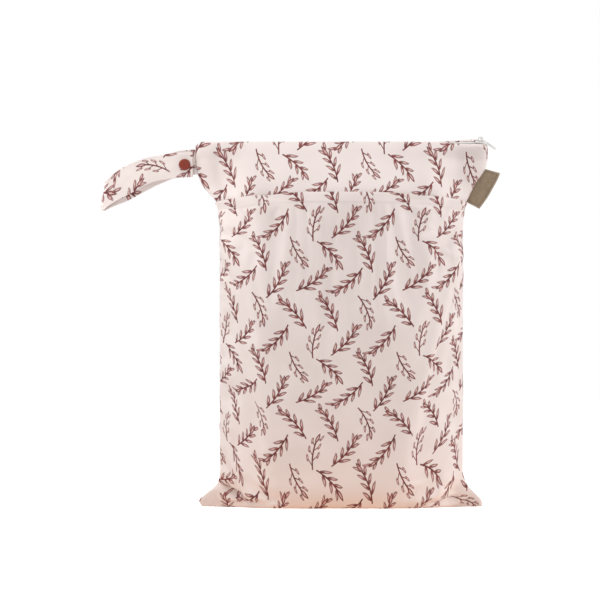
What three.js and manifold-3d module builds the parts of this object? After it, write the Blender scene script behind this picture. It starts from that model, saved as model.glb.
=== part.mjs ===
// A filled cloth wet bag: two cloth panels sewn round the sides and bottom, a yoke above the lapped
// front panel, a coil zip along the mouth, a snap strap on the left seam and a folded label on the right.
// Millimetres, +Z up, the front faces -Y. The origin is on the surface the bag stands on, under its middle.
import * as THREE from "three";
import { mergeVertices } from "three/addons/utils/BufferGeometryUtils.js";
import Module from "manifold-3d";

const wasm = await Module();
wasm.setup();
const { smoothstep, lerp, degToRad } = THREE.MathUtils;

// Driving dimensions of the filled bag
const mouthWidth = 300; // seam to seam along the zip, as wide as the bag laid flat
const bodyWidth = 250; // across the filled body
const bodyDepth = 96; // front to back of the filled body
const bagHeight = 376; // from the surface to the cloth beside the zip
const clothLength = 420; // of a panel, from the bottom seam to the zip
const cloth = 1.2; // printed outer with its waterproof backing
const gap = 0.3; // between pieces that are sewn to or seated on each other
const bottomSeamBack = 14; // how far behind the middle the bottom seam lies
const pressed = 1; // how far the filled cloth is flattened where it stands
const foldRoom = 14; // folds fade out where a panel lies closer than this to the seams' plane

// The yoke and the front panel's folded top edge
const yokeLength = 57; // of cloth that shows between the zip and the lapped edge
const yokeLap = 14; // of the yoke that runs down behind the front panel
const lapRamp = 26; // of the front panel that eases out over the yoke
const lapClear = 0.45; // between the yoke and the panel over it
const hem = 9; // depth of the front panel's folded hem
const hemPly = 0.8; // extra thickness of the fold

// The zip
const coilWidth = 4.8;
const coilThick = 2;
const coilFlat = 0.6; // flat shares of its width and of its thickness
const coilSide = 0.4;
const tapeThick = 0.7;
const mouthOpen = 10.4; // between the two panels' edges along the zip
const tapeUnder = 2; // of the tape that runs under each panel's edge
const tapeSeat = 0.5; // between the tapes and the panels sewn over them
const tapeTaper = 1.5; // how much narrower the tape gets at its ends
const taperLength = 40;
const tapeSink = 0.8; // how far the tapes' ends sink into the corners
const rim = tapeUnder + 1; // of each panel that lies flat beside the zip
const zipEnd = 3; // least distance from a side seam to the tape's end
const cornerRadius = 8; // of the rounded corners at the zip's two ends
const cornerFade = 40; // length of cloth below the zip that follows its corners and its turn
const zipRoll = degToRad(18); // turn of the zip's right end towards the front
const rollLength = 50; // over which it turns, up to the slider

// The slider and its pull tab
const sliderFromSeam = 8.5; // middle of the slider, from the right side seam
const sliderLength = 8.4;
const sliderWidth = 8.2;
const sliderTail = 5.2; // width of its narrow end
const plateRound = 1;
const plateThick = 1;
const plateClear = 0.35; // above and below the coil
const innerPlateWidth = 5;
const dividerLength = 1.8;
const dividerWidth = 2.6;
const dividerInset = 0.6; // from the slider's wide end
const crownLength = 5;
const crownHeight = 4.8;
const crownThick = 1.7;
const crownBar = 0.9;
const crownFoot = 0.7; // height of the crown's window above the plate
const crownRound = 1.3;
const crownForward = 1.4; // from the slider's middle to the crown's
const pivotForward = 2; // from the slider's middle to the pull tab's pivot
const tabLength = 19;
const tabWidth = 6.8;
const tabThick = 0.9;
const tabBar = 1.2; // the end bar that runs through the crown
const tabClear = 0.45; // beside the crown
const tabEye = 3.6; // length of the window round the crown
const tabRail = 1.5; // width of the frame round the tab's long slot
const tabNeck = 0.8; // width at the eye, as a share of the tab's
const tabFlare = 3; // length over which it widens
const tabDroop = degToRad(35); // below the zip's line, as it hangs over the corner

// The strap, a flat sewn band doubled into a loop
const strapWidth = 26;
const strapThick = 2;
const strapClear = 0.5; // from the side seam
const strapLoop = 98; // from the side seam to the end of the loop
const strapDroop = degToRad(36); // turn of the band from the seam to the loop's end
const strapShear = 0.7; // of that turn, which the loop's end leans back by
const strapFromTop = 23.5; // middle of the strap, below the top of the cloth
const strapEndFromSeam = 3; // where the free end stops
const loopSwell = 1.6; // how far each ply bows out between the snap and the loop's end
const plySlip = 3; // how far the sewn ply hangs lower than the free one

// The press snap
const snapFromSeam = 11.5;
const snapCap = 12; // diameter
const capHeight = 1.7;
const capRim = 0.7;
const snapStack = 4.2; // between the two plies
const postWidth = 2.4;
const socketWidth = 9.2;
const socketRim = 0.9;
const socketTaper = 0.8; // width of the socket's mouth, as a share of its own
const studWidth = 8.4;
const nubWidth = 3.8;
const nubDepth = 1.1; // from the socket's back to the stud's tip

// The folded label on the right side seam
const labelDrop = 36; // height of the stretch of seam it is sewn into
const labelWidth = 15.5;
const labelThick = 1.4;
const labelFromTop = 28; // height from the top of the cloth down to the label
const labelClear = 0.7; // from the side seam
const labelCurl = 3; // how far its folded edge stands forward, at its lower end
const labelTwist = 0.6; // share of that curl which is gone at its upper end

const halfBody = bodyWidth / 2;
const halfDepth = bodyDepth / 2;
const halfMouth = mouthOpen / 2;
const flare = (mouthWidth - bodyWidth) / 2;
const zipAxis = bagHeight - cloth - tapeSeat - tapeThick / 2;

// Cross sections of the filled bag from the bottom seam to the flat rim beside the zip. up is the share of
// the cloth's length between them.
// seamRise and rise are shares of the height, at the side seams and up the middle of a panel.
// left and right are shares of the flare past the body's width, seamBack of the bottom seam's shift,
// and reach of the way out from the seams to the body's full depth. mouth is the share of the mouth's
// width.
// A section is squarer with a larger round, keeps its middle level with a larger arch, and with pinch 1 its
// sides lie flat, front on back, from pinchFrom to pinchTo of the body's half width outwards.
const pinchFrom = 0.7;
const pinchTo = 1.02;
const sectionColumns = [
  "up", "seamRise", "left", "right", "seamBack", "rise",
  "reach", "mouth", "round", "arch", "pinch",
];
const sectionRows = [
  [0, 0.006, 0.85, 0.82, 1, 0, 0, 0, 2.4, 8, 1],
  [0.035, 0.034, 0.66, 0.64, 0.9, 0, 0.3, 0, 2.4, 8, 1],
  [0.075, 0.066, 0.12, 0.14, 0.7, 0.001, 0.64, 0, 2.4, 8, 0.6],
  [0.115, 0.102, 0, 0.01, 0.5, 0.02, 0.88, 0, 2.4, 5, 0.2],
  [0.16, 0.15, 0, 0, 0.3, 0.072, 0.98, 0, 2.4, 4, 0],
  [0.25, 0.24, 0, 0, 0.1, 0.18, 1, 0, 2.5, 3, 0],
  [0.5, 0.48, 0, 0, 0, 0.45, 1, 0, 2.6, 3, 0],
  [0.72, 0.71, 0, 0, 0, 0.7, 0.985, 0, 2.5, 2.5, 0],
  [0.81, 0.79, 0, 0, 0, 0.8, 0.93, 0, 2.3, 2.5, 0.05],
  [0.864, 0.84, 0.26, 0.02, 0, 0.862, 0.84, 0, 2.2, 2.5, 0.3],
  [0.91, 0.886, 0.78, 0.5, 0, 0.908, 0.65, 0.2, 2.2, 2.5, 0.6],
  [0.95, 0.94, 1, 0.98, 0, 0.95, 0.4, 0.6, 2.6, 2.5, 0.5],
  [0.98, 0.986, 1, 1.04, 0, 0.987, 0.17, 1, 4, 2.5, 0.1],
  [0.99, 0.998, 1, 1.02, 0, 0.999, 0.08, 1, 6, 2.5, 0],
  [1, 1, 0.99, 1, 0, 1, 0, 1, 9, 2.5, 0],
];
const sections = sectionRows.map((row) =>
  Object.fromEntries(sectionColumns.map((name, i) => [name, row[i]])),
);

// Dents and soft folds pressed into the panels. up is the share of the cloth's length, across runs from -1
// at the left seam to 1 at the right one, tall and wide are shares of the panel's length and half width,
// lean tilts the fold, and deep is a share of the body's half depth, inwards when positive.
const frontFolds = [
  { up: 0.12, across: -0.8, tall: 0.05, wide: 0.12, lean: 0.5, deep: 0.1 },
  { up: 0.13, across: 0.83, tall: 0.05, wide: 0.1, lean: -0.5, deep: 0.11 },
  { up: 0.3, across: -0.9, tall: 0.03, wide: 0.12, lean: 0.1, deep: 0.05 },
  { up: 0.42, across: 0.9, tall: 0.03, wide: 0.12, lean: 0, deep: 0.05 },
  { up: 0.55, across: -0.9, tall: 0.03, wide: 0.12, lean: 0, deep: 0.05 },
  { up: 0.66, across: 0.9, tall: 0.03, wide: 0.12, lean: -0.1, deep: 0.05 },
  { up: 0.78, across: -0.8, tall: 0.05, wide: 0.14, lean: -0.4, deep: 0.07 },
  { up: 0.8, across: 0.78, tall: 0.05, wide: 0.14, lean: 0.4, deep: 0.08 },
  { up: 0.5, across: 0.1, tall: 0.2, wide: 0.5, lean: 0.1, deep: 0.03 },
];
const backFolds = [
  { up: 0.12, across: -0.82, tall: 0.05, wide: 0.12, lean: 0.5, deep: 0.1 },
  { up: 0.12, across: 0.8, tall: 0.05, wide: 0.12, lean: -0.5, deep: 0.1 },
  { up: 0.36, across: -0.9, tall: 0.03, wide: 0.12, lean: 0, deep: 0.05 },
  { up: 0.48, across: 0.9, tall: 0.03, wide: 0.12, lean: 0, deep: 0.05 },
  { up: 0.62, across: -0.9, tall: 0.03, wide: 0.12, lean: 0, deep: 0.05 },
  { up: 0.79, across: 0.8, tall: 0.05, wide: 0.14, lean: 0.4, deep: 0.07 },
  { up: 0.8, across: -0.78, tall: 0.05, wide: 0.14, lean: -0.4, deep: 0.07 },
];

// A column of the section table at any height, by cubic curves through its rows that never overshoot them.
function sectionValue(column, up) {
  const last = sections.length - 1;
  const found = sections.findIndex((row, i) => i < last && up <= sections[i + 1].up);
  const i = found < 0 ? last - 1 : found;
  const slope = (k) => {
    const [from, to] = [sections[k], sections[k + 1]];
    return (to[column] - from[column]) / (to.up - from.up);
  };
  const tangent = (k) => {
    if (k === 0) return slope(0);
    if (k === last) return slope(last - 1);
    const below = slope(k - 1);
    const above = slope(k);
    return below * above > 0 ? (2 * below * above) / (below + above) : 0;
  };
  const span = sections[i + 1].up - sections[i].up;
  const s = (up - sections[i].up) / span;
  const rest = 1 - s;
  return (
    sections[i][column] * (1 + 2 * s) * rest * rest +
    sections[i + 1][column] * s * s * (1 + 2 * rest) +
    tangent(i) * span * s * rest * rest -
    tangent(i + 1) * span * s * s * rest
  );
}

// The zip's turn towards the front at x, and its drop within that turn, which rounds both ends down.
const sliderX = mouthWidth / 2 - sliderFromSeam;
function zipLine(x) {
  const past = Math.min(1, Math.max(0, Math.abs(x) - mouthWidth / 2 + cornerRadius) / cornerRadius);
  const drop = cornerRadius * (1 - Math.sqrt(1 - past * past));
  const rollEnd = sliderX - sliderLength / 2;
  return { drop, roll: zipRoll * smoothstep(x, rollEnd - rollLength, rollEnd) };
}

// Carries a point of the cloth near the mouth along with the zip's corners and its turn.
const rimUp = 1 - rim / clothLength;
const cornerUp = 1 - cornerFade / clothLength;
function followZip(point, up) {
  const near = smoothstep(up, cornerUp, rimUp);
  const line = zipLine(point.x);
  const turn = line.roll * near * near;
  const z = point.z - zipAxis - near * line.drop;
  point.z = zipAxis + z * Math.cos(turn) + point.y * Math.sin(turn);
  point.y = point.y * Math.cos(turn) - z * Math.sin(turn);
  return point;
}

// The inner face of a panel. across runs from -1 to 1 in x, and side is -1 on the front and 1 on the back.
function innerCloth(up, across, side) {
  const below = Math.min(1, up / rimUp);
  const share = Math.abs(across);
  const half = halfBody - cloth + flare * sectionValue(across < 0 ? "left" : "right", below);
  const x = across * half;
  const round = sectionValue("round", below);
  const bow = Math.pow(Math.max(0, 1 - Math.pow(share, round)), 1 / round);
  const flat = 1 - smoothstep(Math.abs(x), pinchFrom * halfBody, pinchTo * halfBody);
  const out = lerp(bow, flat * bow, sectionValue("pinch", below));
  const seamY = bottomSeamBack * sectionValue("seamBack", below);
  const overRim = Math.max(0, up - rimUp) * clothLength;
  const mouth = (halfMouth + rim - overRim) * sectionValue("mouth", below);
  const reach = mouth + sectionValue("reach", below) * (halfDepth - cloth - mouth - side * seamY);
  const floor = cloth - pressed;
  const top = bagHeight - cloth;
  const seamZ = lerp(floor, top, sectionValue("seamRise", below));
  const middleZ = lerp(floor, top, sectionValue("rise", below));
  const level = 1 - Math.pow(share, sectionValue("arch", below));
  const point = new THREE.Vector3(x, seamY + side * (gap / 2 + reach * out), lerp(seamZ, middleZ, level));
  followZip(point, up);
  point.z = Math.max(point.z, cloth);
  return point;
}

// A row of points across a panel, spaced along the cloth and closer together towards the side seams.
const columns = 30;
const evenShare = 0.3; // of the spacing that stays even
const finer = 4; // samples for each column
function panelRow(up, side) {
  const fine = [];
  const samples = finer * columns;
  for (let i = 0; i <= samples; i++) {
    const angle = (i / samples - 0.5) * Math.PI;
    fine.push(innerCloth(up, -side * Math.sin(angle), side));
  }
  const along = [0];
  for (let i = 1; i <= samples; i++) along.push(along[i - 1] + fine[i].distanceTo(fine[i - 1]));
  const row = [];
  let k = 1;
  for (let i = 0; i <= columns; i++) {
    const eased = (1 - Math.cos((Math.PI * i) / columns)) / 2;
    const at = along[samples] * lerp(eased, i / columns, evenShare);
    while (k < samples && along[k] < at) k++;
    const s = (at - along[k - 1]) / (along[k] - along[k - 1]);
    row.push(new THREE.Vector3().lerpVectors(fine[k - 1], fine[k], s));
  }
  return row;
}

// The outward direction at each point of a grid, whose columns crossed with its rows point outwards.
function outwards(grid) {
  return grid.map((row, r) =>
    row.map((_, c) => {
      const across = row[Math.min(c + 1, row.length - 1)].clone().sub(row[Math.max(c - 1, 0)]);
      const up = grid[Math.min(r + 1, grid.length - 1)][c].clone().sub(grid[Math.max(r - 1, 0)][c]);
      return across.cross(up).normalize();
    }),
  );
}

// A closed sheet between an inner and an outer grid of points.
function sheetGeometry(inner, outer) {
  const rows = inner.length;
  const columns = inner[0].length;
  const positions = [...inner.flat(), ...outer.flat()].flatMap((p) => [p.x, p.y, p.z]);
  const indices = [];
  const at = (face, r, c) => face * rows * columns + r * columns + c;
  const quad = (a, b, c, d) => indices.push(a, b, c, a, c, d);
  for (let r = 0; r < rows - 1; r++) {
    for (let c = 0; c < columns - 1; c++) {
      quad(at(1, r, c), at(1, r, c + 1), at(1, r + 1, c + 1), at(1, r + 1, c));
      quad(at(0, r, c), at(0, r + 1, c), at(0, r + 1, c + 1), at(0, r, c + 1));
    }
    quad(at(0, r, 0), at(1, r, 0), at(1, r + 1, 0), at(0, r + 1, 0));
    const end = columns - 1;
    quad(at(0, r, end), at(0, r + 1, end), at(1, r + 1, end), at(1, r, end));
  }
  for (let c = 0; c < columns - 1; c++) {
    quad(at(0, 0, c), at(0, 0, c + 1), at(1, 0, c + 1), at(1, 0, c));
    const end = rows - 1;
    quad(at(0, end, c), at(1, end, c), at(1, end, c + 1), at(0, end, c + 1));
  }
  const geometry = new THREE.BufferGeometry();
  geometry.setAttribute("position", new THREE.Float32BufferAttribute(positions, 3));
  geometry.setIndex(indices);
  return geometry;
}

// A closed sheet of even thickness about a middle grid of points.
function thickened(middle, thick) {
  const normals = outwards(middle);
  const face = (distance) =>
    middle.map((row, r) => row.map((p, c) => p.clone().addScaledVector(normals[r][c], distance)));
  return sheetGeometry(face(-thick / 2), face(thick / 2));
}

// Presses the soft folds of a table into a panel's rows.
function pressFolds(grid, ups, folds, side) {
  const normals = outwards(grid);
  grid.forEach((row, r) => {
    const widest = Math.max(Math.abs(row[0].x), Math.abs(row[row.length - 1].x));
    row.forEach((point, c) => {
      const across = point.x / widest;
      let depth = 0;
      for (const fold of folds) {
        const wide = (across - fold.across) / fold.wide;
        const high = (ups[r] - fold.up) / fold.tall - fold.lean * wide;
        depth += fold.deep * halfDepth * Math.exp(-high * high - wide * wide);
      }
      const room = Math.abs(point.y - bottomSeamBack * sectionValue("seamBack", ups[r]));
      point.addScaledVector(normals[r][c], -depth * smoothstep(room, 0, foldRoom));
      point.z = Math.max(point.z, cloth);
    });
  });
}

// The inner and outer faces of a panel of cloth, one row for each height in ups. lift moves the panel
// outwards and thick is its thickness, both worked out from the height.
function panelFaces(ups, side, folds, lift, thick) {
  const inner = ups.map((up) => panelRow(up, side));
  pressFolds(inner, ups, folds, side);
  const normals = outwards(inner);
  const offset = (distance) =>
    inner.map((row, r) => row.map((p, c) => p.clone().addScaledVector(normals[r][c], distance(ups[r]))));
  const outer = offset((up) => lift(up) + thick(up));
  outer.flat().forEach((p) => (p.z = Math.max(p.z, 0)));
  return [offset(lift), outer];
}

// Heights from one stop to the next, with so many steps between them.
function heights(stops, steps) {
  const ups = [stops[0]];
  steps.forEach((count, i) => {
    for (let k = 1; k <= count; k++) ups.push(lerp(stops[i], stops[i + 1], k / count));
  });
  return ups;
}

// A solid through a list of rings with equally many points, closed at both ends.
function loftGeometry(rings) {
  const count = rings[0].length;
  const positions = rings.flat().flatMap((p) => [p.x, p.y, p.z]);
  const indices = [];
  for (let r = 0; r < rings.length - 1; r++) {
    for (let i = 0; i < count; i++) {
      const a = r * count + i;
      const b = r * count + ((i + 1) % count);
      indices.push(a, b, b + count, a, b + count, a + count);
    }
  }
  const last = (rings.length - 1) * count;
  for (let i = 1; i < count - 1; i++) {
    indices.push(0, i + 1, i, last, last + i, last + i + 1);
  }
  const geometry = new THREE.BufferGeometry();
  geometry.setAttribute("position", new THREE.Float32BufferAttribute(positions, 3));
  geometry.setIndex(indices);
  return geometry;
}

// A three.js geometry as a solid that can be joined and cut, and the way back.
function solidOf(geometry) {
  const bare = geometry.index ? geometry.toNonIndexed() : geometry.clone();
  bare.deleteAttribute("normal");
  bare.deleteAttribute("uv");
  const merged = mergeVertices(bare, 1e-4);
  const mesh = new wasm.Mesh({
    numProp: 3,
    vertProperties: merged.attributes.position.array,
    triVerts: new Uint32Array(merged.index.array),
  });
  return new wasm.Manifold(mesh);
}

function geometryOf(solid) {
  const mesh = solid.getMesh();
  const geometry = new THREE.BufferGeometry();
  geometry.setAttribute("position", new THREE.BufferAttribute(mesh.vertProperties, 3));
  geometry.setIndex(new THREE.BufferAttribute(mesh.triVerts, 1));
  return geometry;
}

function boxBetween(low, high) {
  const size = high.map((value, i) => value - low[i]);
  const middle = high.map((value, i) => (value + low[i]) / 2);
  return new THREE.BoxGeometry(...size).translate(...middle);
}

function named(name, geometry, material) {
  geometry.deleteAttribute("normal");
  geometry.computeVertexNormals();
  const mesh = new THREE.Mesh(geometry, material);
  mesh.name = name;
  return mesh;
}

// Materials
const printedCloth = new THREE.MeshStandardMaterial({ color: 0xefe2dd, roughness: 0.85, metalness: 0 });
const zipTape = new THREE.MeshStandardMaterial({ color: 0xf4f1ee, roughness: 0.8, metalness: 0 });
const whiteNylon = new THREE.MeshStandardMaterial({ color: 0xeeecea, roughness: 0.45, metalness: 0 });
const whiteEnamel = new THREE.MeshStandardMaterial({ color: 0xf0f0ef, roughness: 0.3, metalness: 0 });
const rustPlastic = new THREE.MeshStandardMaterial({ color: 0x97402e, roughness: 0.4, metalness: 0 });
const clearPlastic = new THREE.MeshStandardMaterial({ color: 0xd9cfc8, roughness: 0.4, metalness: 0 });
const taupeLabel = new THREE.MeshStandardMaterial({ color: 0x94826f, roughness: 0.8, metalness: 0 });

const bag = new THREE.Group();

// The front panel reaches from the bottom seam to its folded hem, which laps over the yoke.
const lapEdge = 1 - yokeLength / clothLength;
const yokeFrom = lapEdge - yokeLap / clothLength;
const rampFrom = yokeFrom - lapRamp / clothLength;
const lapRise = (up) => (cloth + lapClear) * smoothstep(up, rampFrom, yokeFrom);
const hemFrom = lapEdge - hem / clothLength;
const hemThick = (up) => cloth + hemPly * smoothstep(up, hemFrom - hemPly / clothLength, hemFrom);
const oneCloth = () => cloth;
const noLift = () => 0;
const baseUp = 0.2; // the rows are closest below this, where the cloth turns under
const shoulderUp = 0.95;
const frontUps = heights([0, baseUp, rampFrom, yokeFrom, lapEdge], [8, 9, 3, 3]);
const frontFaces = panelFaces(frontUps, -1, frontFolds, lapRise, hemThick);
bag.add(named("front_panel", sheetGeometry(...frontFaces), printedCloth));

// The yoke runs from behind the front panel's hem to the zip, and the back panel from seam to zip.
const yokeUps = heights([yokeFrom, lapEdge, shoulderUp, rimUp, 1], [3, 3, 4, 1]);
const yokeFaces = panelFaces(yokeUps, -1, frontFolds, noLift, oneCloth);
bag.add(named("front_yoke", sheetGeometry(...yokeFaces), printedCloth));
const backUps = heights([0, baseUp, yokeFrom, shoulderUp, rimUp, 1], [8, 9, 5, 4, 1]);
const backFaces = panelFaces(backUps, 1, backFolds, noLift, oneCloth);
bag.add(named("back_panel", sheetGeometry(...backFaces), printedCloth));

// A section drawn across the zip, in its own y and z, placed on the zip's line at x.
function acrossZip(x, outline) {
  const { drop, roll } = zipLine(x);
  return outline.map(([y, z]) => {
    const point = new THREE.Vector3(x, y, z - drop).applyAxisAngle(new THREE.Vector3(1, 0, 0), roll);
    point.z += zipAxis;
    return point;
  });
}

// The zip's stations are those of the panels' edges, so that the two bend alike.
const tapeEnd = mouthWidth / 2 - zipEnd;
const zipStations = panelRow(1, -1).map((p) => p.x).filter((x) => Math.abs(x) < tapeEnd);

// The two tapes lie under the panels' edges and meet the coil between them.
for (const [name, side] of [["zip_tape_front", -1], ["zip_tape_back", 1]]) {
  const rings = zipStations.map((x) => {
    const inner = coilWidth / 2 + gap;
    const narrowing = tapeTaper * smoothstep(Math.abs(x), tapeEnd - taperLength, tapeEnd);
    const outer = halfMouth + tapeUnder - narrowing;
    const top = tapeThick / 2 - tapeSink * smoothstep(Math.abs(x), tapeEnd - 2 * cornerRadius, tapeEnd);
    const low = top - tapeThick;
    const outline = [[side * inner, low], [side * outer, low], [side * outer, top], [side * inner, top]];
    return acrossZip(x, side < 0 ? outline.reverse() : outline);
  });
  bag.add(named(name, loftGeometry(rings), zipTape));
}

// The coil stops at the slider's divider.
const coilEnd = sliderX + sliderLength / 2 - dividerInset - dividerLength - gap;
const coilStations = [...zipStations.filter((x) => x < coilEnd - coilThick), coilEnd];
const coilRings = coilStations.map((x) => {
  const wide = coilWidth / 2;
  const high = coilThick / 2;
  const lower = [
    [-wide, -coilSide * high],
    [-coilFlat * wide, -high],
    [coilFlat * wide, -high],
    [wide, -coilSide * high],
  ];
  const upper = lower.map(([y, z]) => [-y, -z]);
  return acrossZip(x, [...lower, ...upper]);
});
bag.add(named("zip_coil", loftGeometry(coilRings), whiteNylon));

// The slider: an outer and an inner plate joined by the divider, with an arched crown for the pull tab.
const plateLow = coilThick / 2 + plateClear;
const plateHigh = plateLow + plateThick;
function plateGeometry(wide, narrow, low) {
  const end = sliderLength / 2;
  const shape = new THREE.Shape();
  shape.moveTo(-end, -narrow / 2);
  shape.lineTo(end - plateRound, -wide / 2);
  shape.quadraticCurveTo(end, -wide / 2, end, -wide / 2 + plateRound);
  shape.lineTo(end, wide / 2 - plateRound);
  shape.quadraticCurveTo(end, wide / 2, end - plateRound, wide / 2);
  shape.lineTo(-end, narrow / 2);
  shape.closePath();
  const settings = { depth: plateThick, bevelEnabled: false, curveSegments: 3 };
  return new THREE.ExtrudeGeometry(shape, settings).translate(0, 0, low);
}

function crownGeometry() {
  const half = crownLength / 2;
  const foot = -plateThick / 2;
  const arch = new THREE.Shape();
  arch.moveTo(-half, foot);
  arch.lineTo(half, foot);
  arch.lineTo(half, crownHeight - crownRound);
  arch.quadraticCurveTo(half, crownHeight, half - crownRound, crownHeight);
  arch.lineTo(-half + crownRound, crownHeight);
  arch.quadraticCurveTo(-half, crownHeight, -half, crownHeight - crownRound);
  arch.closePath();
  const window = new THREE.Path();
  window.moveTo(-half + crownBar, crownFoot);
  window.lineTo(half - crownBar, crownFoot);
  window.lineTo(half - crownBar, crownHeight - crownBar);
  window.lineTo(-half + crownBar, crownHeight - crownBar);
  window.closePath();
  arch.holes.push(window);
  const settings = { depth: crownThick, bevelEnabled: false, curveSegments: 4 };
  const crown = new THREE.ExtrudeGeometry(arch, settings);
  return crown.rotateX(Math.PI / 2).translate(crownForward, crownThick / 2, plateHigh);
}

function sliderGeometry() {
  const dividerTo = sliderLength / 2 - dividerInset;
  const inPlate = plateLow + plateThick / 2;
  const divider = boxBetween(
    [dividerTo - dividerLength, -dividerWidth / 2, -inPlate],
    [dividerTo, dividerWidth / 2, inPlate],
  );
  const outerPlate = solidOf(plateGeometry(sliderWidth, sliderTail, plateLow));
  const innerPlate = solidOf(plateGeometry(innerPlateWidth, innerPlateWidth, -plateHigh));
  return geometryOf(outerPlate.add(innerPlate).add(solidOf(divider)).add(solidOf(crownGeometry())));
}

// The pull tab lies along +X from its pivot: an end bar through the crown, an eye round it and a long slot.
function tabGeometry() {
  const start = -tabBar / 2;
  const half = tabWidth / 2;
  const neck = start + tabEye;
  const outline = new THREE.Shape();
  outline.moveTo(start, -tabNeck * half);
  outline.lineTo(neck, -tabNeck * half);
  outline.quadraticCurveTo(neck + tabFlare / 2, -half, neck + tabFlare, -half);
  outline.absarc(tabLength - half, 0, half, -Math.PI / 2, Math.PI / 2, false);
  outline.lineTo(neck + tabFlare, half);
  outline.quadraticCurveTo(neck + tabFlare / 2, half, neck, tabNeck * half);
  outline.lineTo(start, tabNeck * half);
  outline.closePath();
  const eyeHalf = crownThick / 2 + tabClear;
  const eyeEnd = tabBar / 2 + tabEye;
  const eye = new THREE.Path();
  eye.moveTo(tabBar / 2, -eyeHalf);
  eye.lineTo(eyeEnd, -eyeHalf);
  eye.lineTo(eyeEnd, eyeHalf);
  eye.lineTo(tabBar / 2, eyeHalf);
  eye.closePath();
  const slotHalf = half - tabRail;
  const slot = new THREE.Path();
  slot.absarc(tabLength - half, 0, slotHalf, -Math.PI / 2, Math.PI / 2, false);
  slot.absarc(eyeEnd + tabRail + slotHalf, 0, slotHalf, Math.PI / 2, (3 * Math.PI) / 2, false);
  slot.closePath();
  outline.holes.push(eye, slot);
  const settings = { depth: tabThick, bevelEnabled: false, curveSegments: 6 };
  return new THREE.ExtrudeGeometry(outline, settings).translate(0, 0, -tabThick / 2);
}

const sliderPlace = new THREE.Group();
sliderPlace.position.set(sliderX, 0, zipAxis);
sliderPlace.rotation.x = zipLine(sliderX).roll;
sliderPlace.add(named("zip_slider", sliderGeometry(), whiteEnamel));
const pullTab = named("zip_pull_tab", tabGeometry(), whiteEnamel);
pullTab.position.set(pivotForward, 0, plateHigh + (crownHeight - crownBar + crownFoot) / 2);
pullTab.rotation.y = tabDroop;
sliderPlace.add(pullTab);
bag.add(sliderPlace);

// How far out the side seam reaches at a height, on the side of sign: the outermost of the panels' edges.
function edgeX(faces, sign, z) {
  const [inner, outer] = faces;
  const column = outer[0][0].x * sign > 0 ? 0 : columns;
  const above = outer.findIndex((row) => row[column].z >= z);
  if (above < 1) return 0;
  const reach = (r) => Math.max(sign * inner[r][column].x, sign * outer[r][column].x);
  const [low, high] = [outer[above - 1][column].z, outer[above][column].z];
  return lerp(reach(above - 1), reach(above), (z - low) / (high - low));
}

function seamX(z, sign) {
  return Math.max(...[frontFaces, yokeFaces, backFaces].map((faces) => edgeX(faces, sign, z)));
}

// The strap's middle line leaves the left seam level and bends down in an arc.
// along is measured from the seam.
const strapZ = bagHeight - strapFromTop;
const strapStart = -seamX(strapZ, -1) - strapClear;
function strapPlace(along) {
  const angle = (strapDroop * along) / strapLoop;
  const lean = angle * (1 - (strapShear * along) / strapLoop);
  const radius = strapLoop / strapDroop;
  return {
    x: strapStart - radius * Math.sin(angle),
    z: strapZ - radius * (1 - Math.cos(angle)),
    across: new THREE.Vector3(-Math.sin(lean), 0, Math.cos(lean)),
  };
}

// The band runs out as the sewn ply, turns at the loop's end and comes back in front as the free ply.
const plyApart = snapStack + strapThick;
const runSteps = 18; // along each ply
const turnSteps = 6; // round the loop's end
function strapStations() {
  const turn = plyApart / 2;
  const bendAt = strapLoop - turn - strapThick / 2;
  const swell = (along) => {
    const s = smoothstep(along, snapFromSeam + snapCap / 2, bendAt);
    return loopSwell * Math.sin(Math.PI * s) ** 2;
  };
  const slip = (along) => -plySlip * Math.sin((Math.PI * along) / bendAt);
  const stations = [];
  for (let i = 0; i <= runSteps; i++) {
    const along = lerp(0, bendAt, i / runSteps);
    stations.push({ along, y: swell(along), slip: slip(along) });
  }
  for (let i = 1; i < turnSteps; i++) {
    const angle = (Math.PI * i) / turnSteps;
    stations.push({ along: bendAt + turn * Math.sin(angle), y: -turn + turn * Math.cos(angle), slip: 0 });
  }
  for (let i = runSteps; i >= 0; i--) {
    const along = lerp(strapEndFromSeam, bendAt, i / runSteps);
    stations.push({ along, y: -plyApart - swell(along), slip: 0 });
  }
  return stations;
}

function strapGeometry() {
  const stations = strapStations();
  const widths = [-0.5, -0.25, 0, 0.25, 0.5];
  const middle = stations.map(({ along, y, slip }) => {
    const place = strapPlace(along);
    return widths.map((share) => {
      const point = new THREE.Vector3(place.x, y, place.z);
      point.addScaledVector(place.across, share * strapWidth + slip);
      point.x = Math.min(point.x, -seamX(point.z, -1) - strapClear);
      if (along === 0) point.x = -seamX(point.z, -1) - strapClear;
      return point;
    });
  });
  const band = solidOf(thickened(middle, strapThick));
  const radius = postWidth / 2 + gap;
  const hole = new THREE.CylinderGeometry(radius, radius, 4 * plyApart, 16);
  const place = strapPlace(snapFromSeam);
  hole.translate(place.x, -plyApart / 2, place.z);
  return geometryOf(band.subtract(solidOf(hole)));
}
bag.add(named("strap", strapGeometry(), printedCloth));

// The press snap: a domed cap and post on each ply, with the socket and the stud clicked together
// between them. Each profile lists radius and place along y, and is turned about the snap's axis.
const snapPlace = strapPlace(snapFromSeam);
function turned(name, profile, material) {
  const points = profile.map(([radius, y]) => new THREE.Vector2(radius, y));
  const mesh = named(name, new THREE.LatheGeometry(points, 20), material);
  mesh.position.set(snapPlace.x, 0, snapPlace.z);
  bag.add(mesh);
}

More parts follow.
